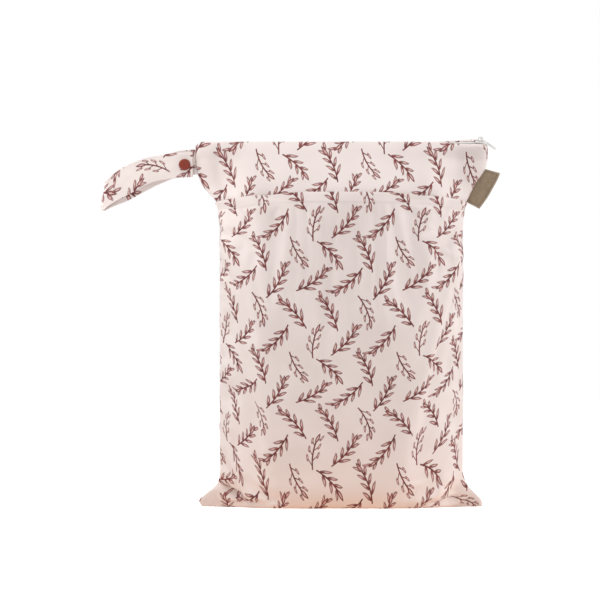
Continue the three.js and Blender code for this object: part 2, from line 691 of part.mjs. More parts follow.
// The plies' faces along y, and where the socket and the stud meet between them.
const frontFace = -plyApart - strapThick / 2;
const frontInner = frontFace + strapThick;
const backFace = strapThick / 2;
const backInner = backFace - strapThick;
const meet = (frontInner + backInner) / 2;
const nubTop = frontInner + gap + nubDepth;
const postRadius = postWidth / 2;
const holeRadius = postRadius + gap;
const socketRadius = socketWidth / 2;
const studRadius = studWidth / 2;
const nubRadius = nubWidth / 2;

// A cap's domed outline from its rim to its middle, as shares of its radius and height, on the side of way.
const dome = [[1, 0], [1, capRim / capHeight], [0.8, 0.8], [0.45, 0.96], [0, 1]];
function capOutline(face, way) {
  return dome.map(([wide, high]) => [(wide * snapCap) / 2, face + way * (gap + high * capHeight)]);
}

turned(
  "snap_cap",
  [
    ...capOutline(frontFace, -1).reverse(),
    [postRadius, frontFace - gap],
    [postRadius, nubTop - gap],
    [0, nubTop - gap],
  ],
  rustPlastic,
);
turned(
  "snap_socket",
  [
    [holeRadius, frontInner + gap],
    [socketRadius, frontInner + gap],
    [socketRadius, frontInner + gap + socketRim],
    [socketTaper * socketRadius, meet - gap / 2],
    [nubRadius + gap, meet - gap / 2],
    [nubRadius + gap, nubTop - gap],
    [holeRadius, nubTop - gap],
    [holeRadius, frontInner + gap],
  ],
  clearPlastic,
);
turned(
  "snap_stud",
  [
    [0, nubTop],
    [nubRadius, nubTop],
    [nubRadius, meet + gap / 2],
    [studRadius, meet + gap / 2],
    [studRadius, backInner - gap],
    [holeRadius, backInner - gap],
    [holeRadius, meet + gap],
    [0, meet + gap],
  ],
  clearPlastic,
);
turned(
  "snap_back_cap",
  [
    [0, meet + 2 * gap],
    [postRadius, meet + 2 * gap],
    [postRadius, backFace + gap],
    ...capOutline(backFace, 1),
  ],
  rustPlastic,
);

// The label is a short ribbon folded in half, sewn by its open side along the right seam.
function labelGeometry() {
  const steps = 8;
  const top = bagHeight - labelFromTop;
  const bottom = top - labelDrop;
  const seamPoint = (z) => new THREE.Vector3(seamX(z, 1), 0, z);
  const along = seamPoint(top).sub(seamPoint(bottom)).normalize();
  const outward = new THREE.Vector3(along.z, 0, -along.x);
  const middle = [];
  for (let r = 0; r <= steps; r++) {
    const start = seamPoint(lerp(bottom, top, r / steps));
    start.x += labelClear;
    middle.push(
      [0, 0.25, 0.5, 0.75, 1].map((share) => {
        const point = start.clone().addScaledVector(outward, share * labelWidth);
        point.y -= labelCurl * share * share * (1 - (labelTwist * r) / steps);
        return point;
      }),
    );
  }
  return thickened(middle, labelThick);
}
bag.add(named("side_label", labelGeometry(), taupeLabel));

export default bag;
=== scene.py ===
"""A filled cloth wet bag with a zip, a snap strap and a folded side label, standing on a white floor."""
import math

import bmesh
import bpy
from mathutils import Matrix, Vector, noise


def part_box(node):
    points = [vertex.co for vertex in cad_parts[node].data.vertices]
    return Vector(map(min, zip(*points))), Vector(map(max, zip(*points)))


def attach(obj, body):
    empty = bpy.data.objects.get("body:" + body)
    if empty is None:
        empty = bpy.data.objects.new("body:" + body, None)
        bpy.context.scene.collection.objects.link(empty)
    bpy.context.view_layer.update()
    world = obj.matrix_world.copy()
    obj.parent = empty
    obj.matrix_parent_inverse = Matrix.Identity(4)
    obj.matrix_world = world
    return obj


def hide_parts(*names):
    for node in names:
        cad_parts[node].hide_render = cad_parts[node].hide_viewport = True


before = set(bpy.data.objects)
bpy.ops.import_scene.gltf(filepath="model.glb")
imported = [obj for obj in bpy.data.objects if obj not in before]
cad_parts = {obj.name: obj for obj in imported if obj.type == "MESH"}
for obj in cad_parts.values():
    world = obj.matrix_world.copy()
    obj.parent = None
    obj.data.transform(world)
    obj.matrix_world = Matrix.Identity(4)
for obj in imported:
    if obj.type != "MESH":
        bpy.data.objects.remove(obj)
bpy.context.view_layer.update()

# The camera stands level in front of the bag with a long lens, half way up the picture. The picture is
# square and takes in 617 mm at the bag.
camera_distance = 6
camera_across = -0.0425
camera_height = 0.2132
picture_width = 0.6165
sensor_width = 0.036
camera_data = bpy.data.cameras.new("camera")
camera_data.sensor_width = sensor_width * 1000
camera_data.lens = sensor_width * 1000 * camera_distance / picture_width
camera = bpy.data.objects.new("camera", camera_data)
camera.location = (camera_across, -camera_distance, camera_height)
camera.rotation_euler = (math.radians(90), 0, 0)
bpy.context.scene.collection.objects.link(camera)
bpy.context.scene.camera = camera
bpy.context.scene.view_settings.view_transform = "Standard"

# The studio is a white floor that runs out of sight, a white surround and five soft panels of light: a
# large one above and in front, low ones from the right and the left, a small one near the strap, and one
# from behind for the rim. To the camera the floor is white. What it gives back to the bag is greyer, and it
# also glows: painted light, warm close to the bag, that lights the bag's underside and fills its shadow.
floor_size = 12
surround_light = 0.5
floor_lift = 0.65
floor_colour = (0.93, 0.92, 0.91, 1)
floor_bounce = (0.45, 0.44, 0.44, 1)
warm_glow_colour = (0.60, 0.42, 0.31, 1)
floor_glow = 0.78
warm_glow_radius = 0.34


def soft_light(name, place, size, power, colour, aim_at=(0, 0, 0.2), spread=180):
    """A square panel of light that faces a point, the middle of the bag unless another is given."""
    data = bpy.data.lights.new(name, "AREA")
    data.shape = "SQUARE"
    data.size = size
    data.energy = power
    data.color = colour
    data.spread = math.radians(spread)
    light = bpy.data.objects.new(name, data)
    light.location = place
    aim = Vector(aim_at) - Vector(place)
    light.rotation_euler = aim.to_track_quat("-Z", "Y").to_euler()
    light.visible_camera = False
    bpy.context.scene.collection.objects.link(light)


soft_light("top_panel", (-0.5, -0.9, 2.4), 1.0, 27, (1, 0.99, 0.98))
soft_light("right_panel", (2.2, -0.25, 0.8), 0.9, 25.5, (1, 0.99, 0.985))
soft_light("left_panel", (-2.2, -0.35, 0.8), 0.9, 13.5, (1, 0.99, 0.985))
soft_light("strap_panel", (-0.47, -0.32, 0.2), 0.2, 0.035, (1, 0.98, 0.96), (-0.2, 0, 0.33), 34)
soft_light("back_panel_light", (-0.9, 2.0, 1.6), 1.0, 12, (1, 1, 1))


def feed(node, inputs):
    """Feeds a node's inputs, given by name or number: an output is linked, and a value is set."""
    for key, value in inputs.items():
        if isinstance(value, bpy.types.NodeSocket):
            node.id_data.links.new(value, node.inputs[key])
        else:
            node.inputs[key].default_value = value
    return node


def add_node(tree, kind, inputs, **settings):
    """Adds a shader node to a tree, sets its properties and feeds its inputs."""
    node = tree.nodes.new("ShaderNode" + kind)
    for name, value in settings.items():
        setattr(node, name, value)
    return feed(node, inputs)


def camera_mix(tree, elsewhere, seen, output):
    """Shows one shader to the camera and another to all other light."""
    path = add_node(tree, "LightPath", {})
    shaders = {"Fac": path.outputs["Is Camera Ray"], 1: elsewhere.outputs[0], 2: seen.outputs[0]}
    feed(tree.nodes[output], {"Surface": add_node(tree, "MixShader", shaders).outputs[0]})


def blend_colour(factor, below, above):
    """A colour mix: below where the factor is 0, above where it is 1."""
    return add_node(factor.id_data, "Mix", {0: factor, 6: below, 7: above}, data_type="RGBA").outputs[2]


def new_material(name):
    """A new material, its node tree and its main shader."""
    material = bpy.data.materials.new(name)
    material.use_nodes = True
    return material, material.node_tree, material.node_tree.nodes["Principled BSDF"]


def add_piece(name, shape):
    """Turns a finished shape into a smooth piece of the scene."""
    mesh = bpy.data.meshes.new(name)
    shape.to_mesh(mesh)
    shape.free()
    mesh.shade_smooth()
    piece = bpy.data.objects.new(name, mesh)
    bpy.context.scene.collection.objects.link(piece)
    return piece


world = bpy.data.worlds.new("surround")
world.use_nodes = True
surround = world.node_tree.nodes["Background"]
feed(surround, {"Color": (1, 0.99, 0.985, 1), "Strength": surround_light})
white_view = add_node(world.node_tree, "Background", {"Color": (1, 1, 1, 1)})
camera_mix(world.node_tree, surround, white_view, "World Output")
bpy.context.scene.world = world

shape = bmesh.new()
bmesh.ops.create_grid(shape, x_segments=1, y_segments=1, size=floor_size / 2)
floor = add_piece("floor", shape)
floor_paint, floor_tree, floor_shader = new_material("white_floor")
feed(floor_shader, {
    "Base Color": floor_colour, "Roughness": 0.9, "Specular IOR Level": 0.1,
    "Emission Color": (1, 1, 1, 1), "Emission Strength": floor_lift,
})
# Painted light: close to the bag, the tone the floor bounces and glows with turns warm, which lights the
# bag's underside warm.
floor_place = add_node(floor_tree, "TexCoord", {})
floor_reach = add_node(floor_tree, "VectorMath", {0: floor_place.outputs["Object"]}, operation="LENGTH")
warm_glow_fade = add_node(
    floor_tree, "MapRange", {"From Max": warm_glow_radius, "Value": floor_reach.outputs["Value"]})
glow_and_bounce_tone = blend_colour(warm_glow_fade.outputs["Result"], warm_glow_colour, floor_bounce)
floor_back = add_node(floor_tree, "BsdfDiffuse", {"Color": glow_and_bounce_tone})
# The floor glows with this tone for every ray but the camera's: painted light from a part that is no lamp,
# which fills the bag's shadow on it.
floor_glow_light = add_node(floor_tree, "Emission", {"Color": glow_and_bounce_tone, "Strength": floor_glow})
floor_sum = add_node(floor_tree, "AddShader", {0: floor_back.outputs[0], 1: floor_glow_light.outputs[0]})
camera_mix(floor_tree, floor_sum, floor_shader, "Material Output")
floor.data.materials.append(floor_paint)


# The printed cloth of the two panels, the yoke and the strap: an off-white knit with a waterproof
# backing, printed all over with small sprigs. Its nodes measure the cloth itself, in metres, by its own
# UV map, so that the print turns and folds with the cloth.
repeat_width = 0.108
repeat_height = 0.115
ink_line = 0.00042
ink_edge = 0.00024
cloth_white = (0.81, 0.725, 0.70, 1)
cloth_shade = (0.75, 0.665, 0.64, 1)
ink_dark = (0.10, 0.010, 0.011, 1)
ink_pale = (0.21, 0.032, 0.032, 1)
leaf_tint = (0.63, 0.40, 0.37, 1)
knit_pitch = 0.0007
patch_scale = 22
yarn_scale = 160
line_share = 0.96
tint_share = 0.85


def math_node(operation):
    """Gives a function that adds one Math node to the tree of its values and returns its output."""
    def add(*values):
        tree = next(value.id_data for value in values if isinstance(value, bpy.types.NodeSocket))
        return add_node(tree, "Math", dict(enumerate(values)), operation=operation).outputs[0]
    return add


plus, less, times, over = (math_node(name) for name in ("ADD", "SUBTRACT", "MULTIPLY", "DIVIDE"))
larger, smaller, size_of = (math_node(name) for name in ("MAXIMUM", "MINIMUM", "ABSOLUTE"))
sine, whole, sign_of, root_of = (math_node(name) for name in ("SINE", "ROUND", "SIGN", "SQRT"))


def split(vector):
    """The X, Y and Z parts of a vector."""
    return add_node(vector.id_data, "SeparateXYZ", {0: vector}).outputs


def noise_over(place, scale, detail=2):
    """A noise texture over a place."""
    inputs = {"Vector": place, "Scale": scale, "Detail": detail}
    return add_node(place.id_data, "TexNoise", inputs).outputs["Fac"]


def bumped(height, strength, distance):
    """The normal of a surface that a height lifts."""
    inputs = {"Height": height, "Strength": strength, "Distance": distance}
    return add_node(height.id_data, "Bump", inputs).outputs[0]


def effect(name, inputs, outputs):
    """A new node group with named sockets, its input node and its output node."""
    tree = bpy.data.node_groups.new(name, "ShaderNodeTree")
    for socket, kind, value in inputs:
        made = tree.interface.new_socket(socket, in_out="INPUT", socket_type="NodeSocket" + kind)
        if value is not None:
            made.default_value = value
    for socket, kind in outputs:
        tree.interface.new_socket(socket, in_out="OUTPUT", socket_type="NodeSocket" + kind)
    return tree, tree.nodes.new("NodeGroupInput"), tree.nodes.new("NodeGroupOutput")


def placed(tree, group, **values):
    """The group as a node of a tree, with its inputs fed by name."""
    return add_node(tree, "Group", values, node_tree=group)


def ramp(value, start, end):
    """0 at start and before, 1 at end and past it."""
    return smaller(larger(over(less(value, start), end - start), 0), 1)


def sprig_effect():
    """One printed sprig: a bent stem with leaves in pairs, or with round berries on stalks."""
    tree, given, out = effect(
        "printed_sprig",
        [("Cloth", "Vector", None), ("Middle", "Vector", None), ("Turn", "Float", 0.0),
         ("Length", "Float", 0.024), ("Bend", "Float", 6.0), ("Leaf", "Float", 0.008),
         ("Berries", "Float", 0.0)],
        [("Line", "Float"), ("Tint", "Float")],
    )
    leaf_angle = math.radians(40)
    spacing = 0.0095
    leaf_width = 0.00125
    bare_stem = 0.0055
    bare_tip = 0.009
    side_shift = 0.24
    berry_radius = 0.0015
    berry_at = 0.78
    stem_share, stalk_share, vein_share, vein_reach = 0.9, 0.2, 0.25, 0.4
    length, leaf_long, berries = (given.outputs[name] for name in ("Length", "Leaf", "Berries"))

    def swell(part):
        return times(times(part, less(1, part)), 4 * leaf_width)

    apart = add_node(
        tree, "VectorMath", {0: given.outputs["Cloth"], 1: given.outputs["Middle"]}, operation="SUBTRACT")
    high = (repeat_width / 2, repeat_height / 2, 1)
    low = (-repeat_width / 2, -repeat_height / 2, -1)
    wrapped = add_node(tree, "VectorMath", {0: apart.outputs[0], 1: high, 2: low}, operation="WRAP")
    turned = add_node(
        tree, "VectorRotate", {"Vector": wrapped.outputs[0], "Angle": given.outputs["Turn"]},
        rotation_type="Z_AXIS")
    place = split(turned.outputs[0])
    along = plus(place["X"], times(length, 0.5))
    aside = less(place["Y"], times(times(place["X"], place["X"]), given.outputs["Bend"]))
    off = size_of(aside)
    # Leaf stations sit along the stem, each side's half a step apart, and lean forward.
    root = less(along, over(off, math.tan(leaf_angle)))
    root = less(plus(root, times(sign_of(aside), spacing * side_shift)), bare_stem)
    last = over(less(length, bare_stem + bare_tip), spacing)
    station = smaller(larger(whole(over(root, spacing)), 0), whole(last))
    share = over(station, last)
    from_axis = times(less(root, times(station, spacing)), math.sin(leaf_angle))
    beside = size_of(from_axis)
    far = over(off, math.sin(leaf_angle))
    reach = times(leaf_long, less(1.08, times(share, 0.3)))
    part = over(far, reach)
    leaf = less(beside, swell(part))
    # A berry sits at the end of each stalk in place of the leaf.
    past = less(far, times(reach, berry_at))
    berry = less(root_of(plus(times(past, past), times(from_axis, from_axis))), berry_radius)
    stalk = larger(less(beside, ink_line * stalk_share), plus(past, berry_radius))
    swap = add_node(tree, "Mix", {"Factor": berries, "A": leaf, "B": berry})
    tip = less(along, less(length, leaf_long))
    blade = smaller(swap.outputs["Result"], less(off, swell(over(tip, leaf_long))))
    outline = less(1, ramp(size_of(blade), ink_line, ink_line + ink_edge))
    stem = larger(less(off, ink_line * stem_share), larger(times(along, -1), tip))
    vein = larger(less(beside, ink_line * vein_share), less(far, times(reach, vein_reach)))
    drawn = smaller(smaller(stem, plus(stalk, less(1, berries))), vein)
    strokes = less(1, ramp(drawn, ink_line * 0.5, ink_line * 0.5 + ink_edge))
    fade = less(1, times(smaller(part, 1), 0.3))
    feed(out, {"Line": larger(times(outline, fade), strokes), "Tint": ramp(times(blade, -1), 0, ink_edge)})
    return tree


# One repeat of the print. x and y are shares of the repeat's width and height, turn is in degrees,
# length and leaf are in millimetres, bend is the stem's bow, and berries is 1 for a berried twig.
sprig_columns = ("x", "y", "turn", "length", "bend", "leaf", "berries")
sprig_rows = (
    (0.16, 0.12, 50, 40, 8, 10.6, 0),
    (0.51, 0.11, 228, 39, -8, 10.4, 0),
    (0.85, 0.13, 78, 35, -9, 9.8, 1),
    (0.01, 0.38, 120, 39, 8, 10.4, 0),
    (0.35, 0.38, 292, 35, -9, 9.8, 1),
    (0.67, 0.37, 136, 39, 8, 10.6, 0),
    (0.18, 0.62, 218, 39, -8, 10.4, 0),
    (0.52, 0.62, 62, 40, 8, 10.8, 0),
    (0.85, 0.63, 36, 39, 8, 10.4, 0),
    (0.02, 0.87, 314, 38, -8, 10.4, 0),
    (0.35, 0.88, 114, 40, 8, 10.8, 0),
    (0.69, 0.87, 302, 35, 9, 9.8, 1),
)
sprigs = [dict(zip(sprig_columns, row)) for row in sprig_rows]


def print_effect():
    """The whole print over the cloth: every sprig of the repeat, the darkest line on top."""
    tree, given, out = effect(
        "sprig_print", [("Cloth", "Vector", None)], [("Line", "Float"), ("Tint", "Float")])
    sprig_group = sprig_effect()
    drawn = {"Line": 0.0, "Tint": 0.0}
    for sprig in sprigs:
        node = placed(
            tree, sprig_group, Cloth=given.outputs["Cloth"],
            Middle=(sprig["x"] * repeat_width, sprig["y"] * repeat_height, 0),
            Turn=-math.radians(sprig["turn"]), Length=sprig["length"] / 1000,
            Bend=sprig["bend"], Leaf=sprig["leaf"] / 1000, Berries=float(sprig["berries"]),
        )
        for name in drawn:
            drawn[name] = larger(drawn[name], node.outputs[name])
    feed(out, drawn)
    return tree


def knit_effect():
    """Fine threads crossing at a pitch, as a height, with a slow unevenness of the yarn."""
    tree, given, out = effect(
        "fine_threads",
        [("Cloth", "Vector", None), ("Pitch", "Float", 0.0007)],
        [("Height", "Float"), ("Yarn", "Float")],
    )
    place = split(given.outputs["Cloth"])
    turns = over(2 * math.pi, given.outputs["Pitch"])
    crossing = times(sine(times(place["X"], turns)), sine(times(place["Y"], turns)))
    yarn = noise_over(given.outputs["Cloth"], yarn_scale, 3)
    feed(out, {"Height": plus(times(crossing, 0.5), 0.5), "Yarn": yarn})
    return tree


sprig_print = print_effect()
fine_threads = knit_effect()


def printed_cloth(name, shift):
    """The printed cloth, its print shifted by metres across and along, as each piece is cut from the roll."""
    material, tree, shader = new_material(name)
    measure = add_node(tree, "UVMap", {}, uv_map="cloth")
    cloth = add_node(tree, "Mapping", {"Location": (*shift, 0), "Vector": measure.outputs[0]}).outputs[0]
    drawn = placed(tree, sprig_print, Cloth=cloth)
    threads = placed(tree, fine_threads, Cloth=cloth, Pitch=knit_pitch)
    yarn = threads.outputs["Yarn"]
    ground = blend_colour(ramp(noise_over(cloth, patch_scale), 0.3, 0.75), cloth_white, cloth_shade)
    tinted = blend_colour(times(drawn.outputs["Tint"], tint_share), ground, leaf_tint)
    ink = blend_colour(ramp(yarn, 0.35, 0.7), ink_dark, ink_pale)
    feed(shader, {
        "Base Color": blend_colour(times(drawn.outputs["Line"], line_share), tinted, ink),
        "Roughness": plus(times(yarn, 0.15), 0.74), "Specular IOR Level": 0.25,
        "Sheen Weight": 0.12, "Sheen Roughness": 0.4,
        "Normal": bumped(threads.outputs["Height"], 0.35, 0.00012),
    })
    return material


# The bag's filled form, which all three cloth panels share: sizes in metres, then its cross sections from
# the bottom seam to the flat rim beside the zip. seamRise and rise are shares of the height at the side
# seams and up the middle, left and right of the flare past the body's width, reach of the way out to the
# full depth. round squares a section, arch keeps its middle level, and pinch presses its sides together.
mm = 0.001
mouth_width = 300 * mm
body_width = 250 * mm
body_depth = 96 * mm
bag_height = 376 * mm
cloth_length = 420 * mm
shell = 1.2 * mm
seam_gap = 0.3 * mm
seam_close = 0.65 * mm
bottom_seam_back = 14 * mm
pressed = 1 * mm
fold_room = 14 * mm
floor_clear = 0.45 * mm
base_edge = 42 * mm
base_reach = 9 * mm
pucker_reach = 16 * mm
calm_from = 0.955
held_from = 0.972
held_below = 1.5 * mm
most_move = 5 * mm
move_share = 0.45
mouth_open = 10.4 * mm
tape_under = 2 * mm
rim = tape_under + 1 * mm
tape_seat = 0.5 * mm
tape_thick = 0.7 * mm
corner_radius = 8 * mm
corner_fade = 40 * mm
zip_roll = math.radians(18)
roll_length = 50 * mm
slider_x = mouth_width / 2 - 8.5 * mm
slider_length = 8.4 * mm
pinch_from = 0.7
pinch_to = 1.02
half_body = body_width / 2
half_depth = body_depth / 2
half_mouth = mouth_open / 2
flare = (mouth_width - body_width) / 2
zip_axis = bag_height - shell - tape_seat - tape_thick / 2
rim_up = 1 - rim / cloth_length
corner_up = 1 - corner_fade / cloth_length
section_columns = (
    "up", "seam_rise", "left", "right", "seam_back", "rise",
    "reach", "mouth", "round", "arch", "pinch",
)
section_rows = (
    (0, 0.001, 0.8, 0.87, 1, 0, 0, 0, 2.4, 8, 1),
    (0.017, 0.018, 0.92, 0.84, 0.95, 0, 0.14, 0, 2.4, 8, 1),
    (0.035, 0.034, 0.68, 0.62, 0.9, 0, 0.3, 0, 2.4, 8, 1),
    (0.075, 0.066, 0.12, 0.18, 0.7, 0.001, 0.64, 0, 2.4, 8, 0.6),
    (0.115, 0.102, 0, 0.01, 0.5, 0.02, 0.88, 0, 2.4, 5, 0.2),
    (0.16, 0.15, 0, 0, 0.3, 0.072, 0.98, 0, 2.4, 4, 0),
    (0.25, 0.24, 0, 0, 0.1, 0.18, 1, 0, 2.5, 3, 0),
    (0.5, 0.48, 0, 0, 0, 0.45, 1, 0, 2.6, 3, 0),
    (0.72, 0.71, 0, 0, 0, 0.7, 0.985, 0, 2.5, 2.5, 0),
    (0.81, 0.79, 0, 0, 0, 0.8, 0.93, 0, 2.3, 2.5, 0.05),
    (0.842, 0.82, 0.01, 0, 0, 0.837, 0.88, 0, 2.24, 2.5, 0.2),
    (0.864, 0.84, 0.15, 0.15, 0, 0.862, 0.84, 0, 2.2, 2.5, 0.3),
    (0.91, 0.886, 0.76, 0.52, 0, 0.908, 0.65, 0.2, 2.2, 2.5, 0.6),
    (0.95, 0.94, 1, 0.98, 0, 0.95, 0.4, 0.6, 2.6, 2.5, 0.5),
    (0.98, 0.986, 1, 1.04, 0, 0.987, 0.17, 1, 4, 2.5, 0.1),
    (0.99, 0.998, 1, 1.02, 0, 0.999, 0.08, 1, 6, 2.5, 0),
    (1, 1, 0.99, 1, 0, 1, 0, 1, 9, 2.5, 0),
)
sections = [dict(zip(section_columns, row)) for row in section_rows]

# Dents and soft folds pressed into the panels, each as up, across, tall, wide, lean and deep. up and across
# say where, tall and wide how large, lean tilts the fold, and deep is a share of the body's half depth.
front_folds = (
    (0.086, -0.9, 0.011, 0.055, 0.9, 0.34),
    (0.084, -0.94, 0.006, 0.03, 1.1, 0.2),
    (0.05, -0.86, 0.012, 0.09, 1.1, 0.16),
    (0.084, -0.8, 0.016, 0.1, 0.7, 0.1),
    (0.112, -0.86, 0.02, 0.08, 0.9, 0.1),
    (0.062, 0.9, 0.011, 0.07, -0.8, 0.26),
    (0.072, 0.97, 0.012, 0.06, -1.2, 0.12),
    (0.082, 0.82, 0.016, 0.1, -0.7, 0.1),
    (0.11, 0.88, 0.022, 0.08, -0.9, 0.1),
    (0.19, -0.93, 0.04, 0.07, 0.6, 0.1),
    (0.27, 0.94, 0.035, 0.07, -0.3, 0.09),
    (0.33, -0.94, 0.03, 0.07, 0.2, 0.1),
    (0.42, 0.93, 0.045, 0.06, 0.3, 0.09),
    (0.5, -0.95, 0.05, 0.06, -0.3, 0.09),
    (0.6, 0.94, 0.03, 0.07, -0.3, 0.1),
    (0.66, -0.93, 0.03, 0.08, -0.2, 0.1),
    (0.74, 0.9, 0.022, 0.14, 0.6, 0.09),
    (0.76, -0.88, 0.022, 0.14, -0.6, 0.09),
    (0.8, 0.8, 0.025, 0.14, 0.7, 0.12),
    (0.812, -0.82, 0.025, 0.14, -0.7, 0.11),
    (0.845, 0.62, 0.02, 0.13, 0.5, 0.07),
    (0.85, -0.6, 0.02, 0.13, -0.5, 0.07),
    (0.9, -0.87, 0.05, 0.045, 0.8, 0.045),
    (0.9, 0.83, 0.05, 0.045, -0.8, 0.035),
    (0.2, -0.35, 0.05, 0.2, 0.4, 0.035),
    (0.4, 0.3, 0.1, 0.18, -0.8, 0.03),
    (0.62, 0.05, 0.12, 0.12, 0.8, 0.035),
    (0.48, -0.45, 0.09, 0.14, 0.6, 0.03),
)
back_folds = (
    (0.06, -0.88, 0.014, 0.1, 0.9, 0.16),
    (0.09, -0.8, 0.018, 0.1, 0.7, 0.1),
    (0.06, 0.88, 0.014, 0.1, -0.9, 0.16),
    (0.092, 0.8, 0.018, 0.1, -0.7, 0.1),
    (0.22, 0.93, 0.04, 0.07, -0.4, 0.1),
    (0.3, -0.93, 0.035, 0.07, 0.3, 0.1),
    (0.4, 0.94, 0.03, 0.07, -0.2, 0.09),
    (0.5, -0.94, 0.04, 0.06, 0.3, 0.1),
    (0.58, 0.93, 0.035, 0.07, 0.2, 0.1),
    (0.68, -0.92, 0.03, 0.09, -0.3, 0.1),
    (0.76, 0.85, 0.025, 0.14, 0.7, 0.11),
    (0.77, -0.83, 0.025, 0.14, -0.7, 0.11),
    (0.83, 0.6, 0.022, 0.16, 0.6, 0.08),
    (0.84, -0.62, 0.022, 0.16, -0.6, 0.08),
    (0.9, -0.85, 0.05, 0.045, 0.8, 0.07),
    (0.9, 0.85, 0.05, 0.045, -0.8, 0.07),
    (0.3, 0.1, 0.12, 0.16, 0.8, 0.035),
    (0.55, -0.3, 0.1, 0.2, -0.6, 0.03),
)


def smoothstep(value, low, high):
    """0 at low and before, 1 at high and past it, with an eased way between."""
    share = min(1, max(0, (value - low) / (high - low)))
    return share * share * (3 - 2 * share)


def lerp(start, end, share):
    """The value a share of the way from start to end."""
    return start + (end - start) * share


def section_value(column, up):
    """A column of the section table at any height, by cubic curves that never overshoot its rows."""
    last = len(sections) - 1
    i = next((k for k in range(last) if up <= sections[k + 1]["up"]), last - 1)

    def slope(k):
        low, high = sections[k], sections[k + 1]
        return (high[column] - low[column]) / (high["up"] - low["up"])

    def tangent(k):
        if k == 0:
            return slope(0)
        if k == last:
            return slope(last - 1)
        below, above = slope(k - 1), slope(k)
        return 2 * below * above / (below + above) if below * above > 0 else 0

    span = sections[i + 1]["up"] - sections[i]["up"]
    s = (up - sections[i]["up"]) / span
    rest = 1 - s
    return (
        sections[i][column] * (1 + 2 * s) * rest * rest
        + sections[i + 1][column] * s * s * (1 + 2 * rest)
        + tangent(i) * span * s * rest * rest
        - tangent(i + 1) * span * s * s * rest
    )


def zip_line(x):
    """The zip's drop at its rounded ends and its turn towards the front, at x."""
    past = min(1, max(0, abs(x) - mouth_width / 2 + corner_radius) / corner_radius)
    drop = corner_radius * (1 - math.sqrt(1 - past * past))
    roll_end = slider_x - slider_length / 2
    return drop, zip_roll * smoothstep(x, roll_end - roll_length, roll_end)


def across_zip(x, y, z):
    """A point of the zip's cross section at x, y across the zip and z above its middle."""
    drop, roll = zip_line(x)
    point = Matrix.Rotation(roll, 3, "X") @ Vector((x, y, z - drop))
    point.z += zip_axis
    return point


def section_at(up):
    """All that innermost cloth needs of the section table at one height."""
    below = min(1, up / rim_up)
    found = {column: section_value(column, below) for column in section_columns[1:]}
    found["over_rim"] = max(0, up - rim_up) * cloth_length
    found["near"] = smoothstep(up, corner_up, rim_up)
    return found


def inner_cloth(section, across, side):
    """The inner face of a panel. across runs from -1 to 1, and side is -1 in front and 1 behind."""
    share = abs(across)
    half = half_body - shell + flare * section["left" if across < 0 else "right"]
    x = across * half
    bow = max(0, 1 - share ** section["round"]) ** (1 / section["round"])
    flat = 1 - smoothstep(abs(x), pinch_from * half_body, pinch_to * half_body)
    out = lerp(bow, flat * bow, section["pinch"])
    seam_y = bottom_seam_back * section["seam_back"]
    mouth = (half_mouth + rim - section["over_rim"]) * section["mouth"]
    reach = mouth + section["reach"] * (half_depth - shell - mouth - side * seam_y)
    low, top = shell - pressed, bag_height - shell
    seam_z = lerp(low, top, section["seam_rise"])
    middle_z = lerp(low, top, section["rise"])
    level = 1 - share ** section["arch"]
    y = seam_y + side * (seam_gap / 2 + reach * out)
    z = lerp(seam_z, middle_z, level)
    drop, roll = zip_line(x)
    turn = roll * section["near"] ** 2
    z -= zip_axis + section["near"] * drop
    y, z = y * math.cos(turn) - z * math.sin(turn), zip_axis + z * math.cos(turn) + y * math.sin(turn)
    return Vector((x, y, max(z, floor_clear)))


def run_along(points):
    """The distance along a line of points, from the first of them to each."""
    along = [0.0]
    for a, b in zip(points, points[1:]):
        along.append(along[-1] + (b - a).length)
    return along


def places_along(along, stops):
    """Where each stop falls on a line: the number of the point past it, and its share of the way there."""
    k = 1
    for at in stops:
        while k < len(along) - 1 and along[k] < at:
            k += 1
        yield k, (at - along[k - 1]) / (along[k] - along[k - 1])


def cloth_row(up, side, steps):
    """Points evenly spaced along the cloth from seam to seam, each with its distance from the middle."""
    section = section_at(up)
    samples = 4 * steps
    fine = [inner_cloth(section, math.sin((i / samples - 0.5) * math.pi), side) for i in range(samples + 1)]
    along = run_along(fine)
    middle = along[samples // 2]
    stops = [along[-1] * i / steps for i in range(steps + 1)]
    return [
        (fine[k - 1].lerp(fine[k], share), at - middle)
        for at, (k, share) in zip(stops, places_along(along, stops))]


def facing(grid, side):
    """The outward direction at each point of a panel's grid."""
    rows, columns = len(grid) - 1, len(grid[0]) - 1
    normals = []
    for r, row in enumerate(grid):
        line = []
        for c in range(columns + 1):
            along = row[min(c + 1, columns)] - row[max(c - 1, 0)]
            up = grid[min(r + 1, rows)][c] - grid[max(r - 1, 0)][c]
            line.append((along.cross(up) * -side).normalized())
        normals.append(line)
    return normals


# The fine wrinkles: broad soft waves all over, short puckers square to the side seams, and small ones
# along the edge that the bag stands on. Each is its waves along and up the cloth, seed, height in mm, place.
wrinkles = (
    (26, 17, 0, 0.9, "all"),
    (60, 34, 9, 0.45, "all"),
    (24, 95, 20, 3.2, "seams"),
    (130, 28, 31, 1.6, "base"),
)


def crumple(flat, seam_share, seed):
    """Height of the fine wrinkles at a point of the flat cloth."""
    base_share = math.exp(-((flat[1] - base_edge) / base_reach) ** 2)
    share_of = {"all": 1, "seams": seam_share, "base": base_share}
    return sum(
        noise.noise(Vector((flat[0] * along, flat[1] * up, seed + own))) * high * mm * share_of[place]
        for along, up, own, high, place in wrinkles)


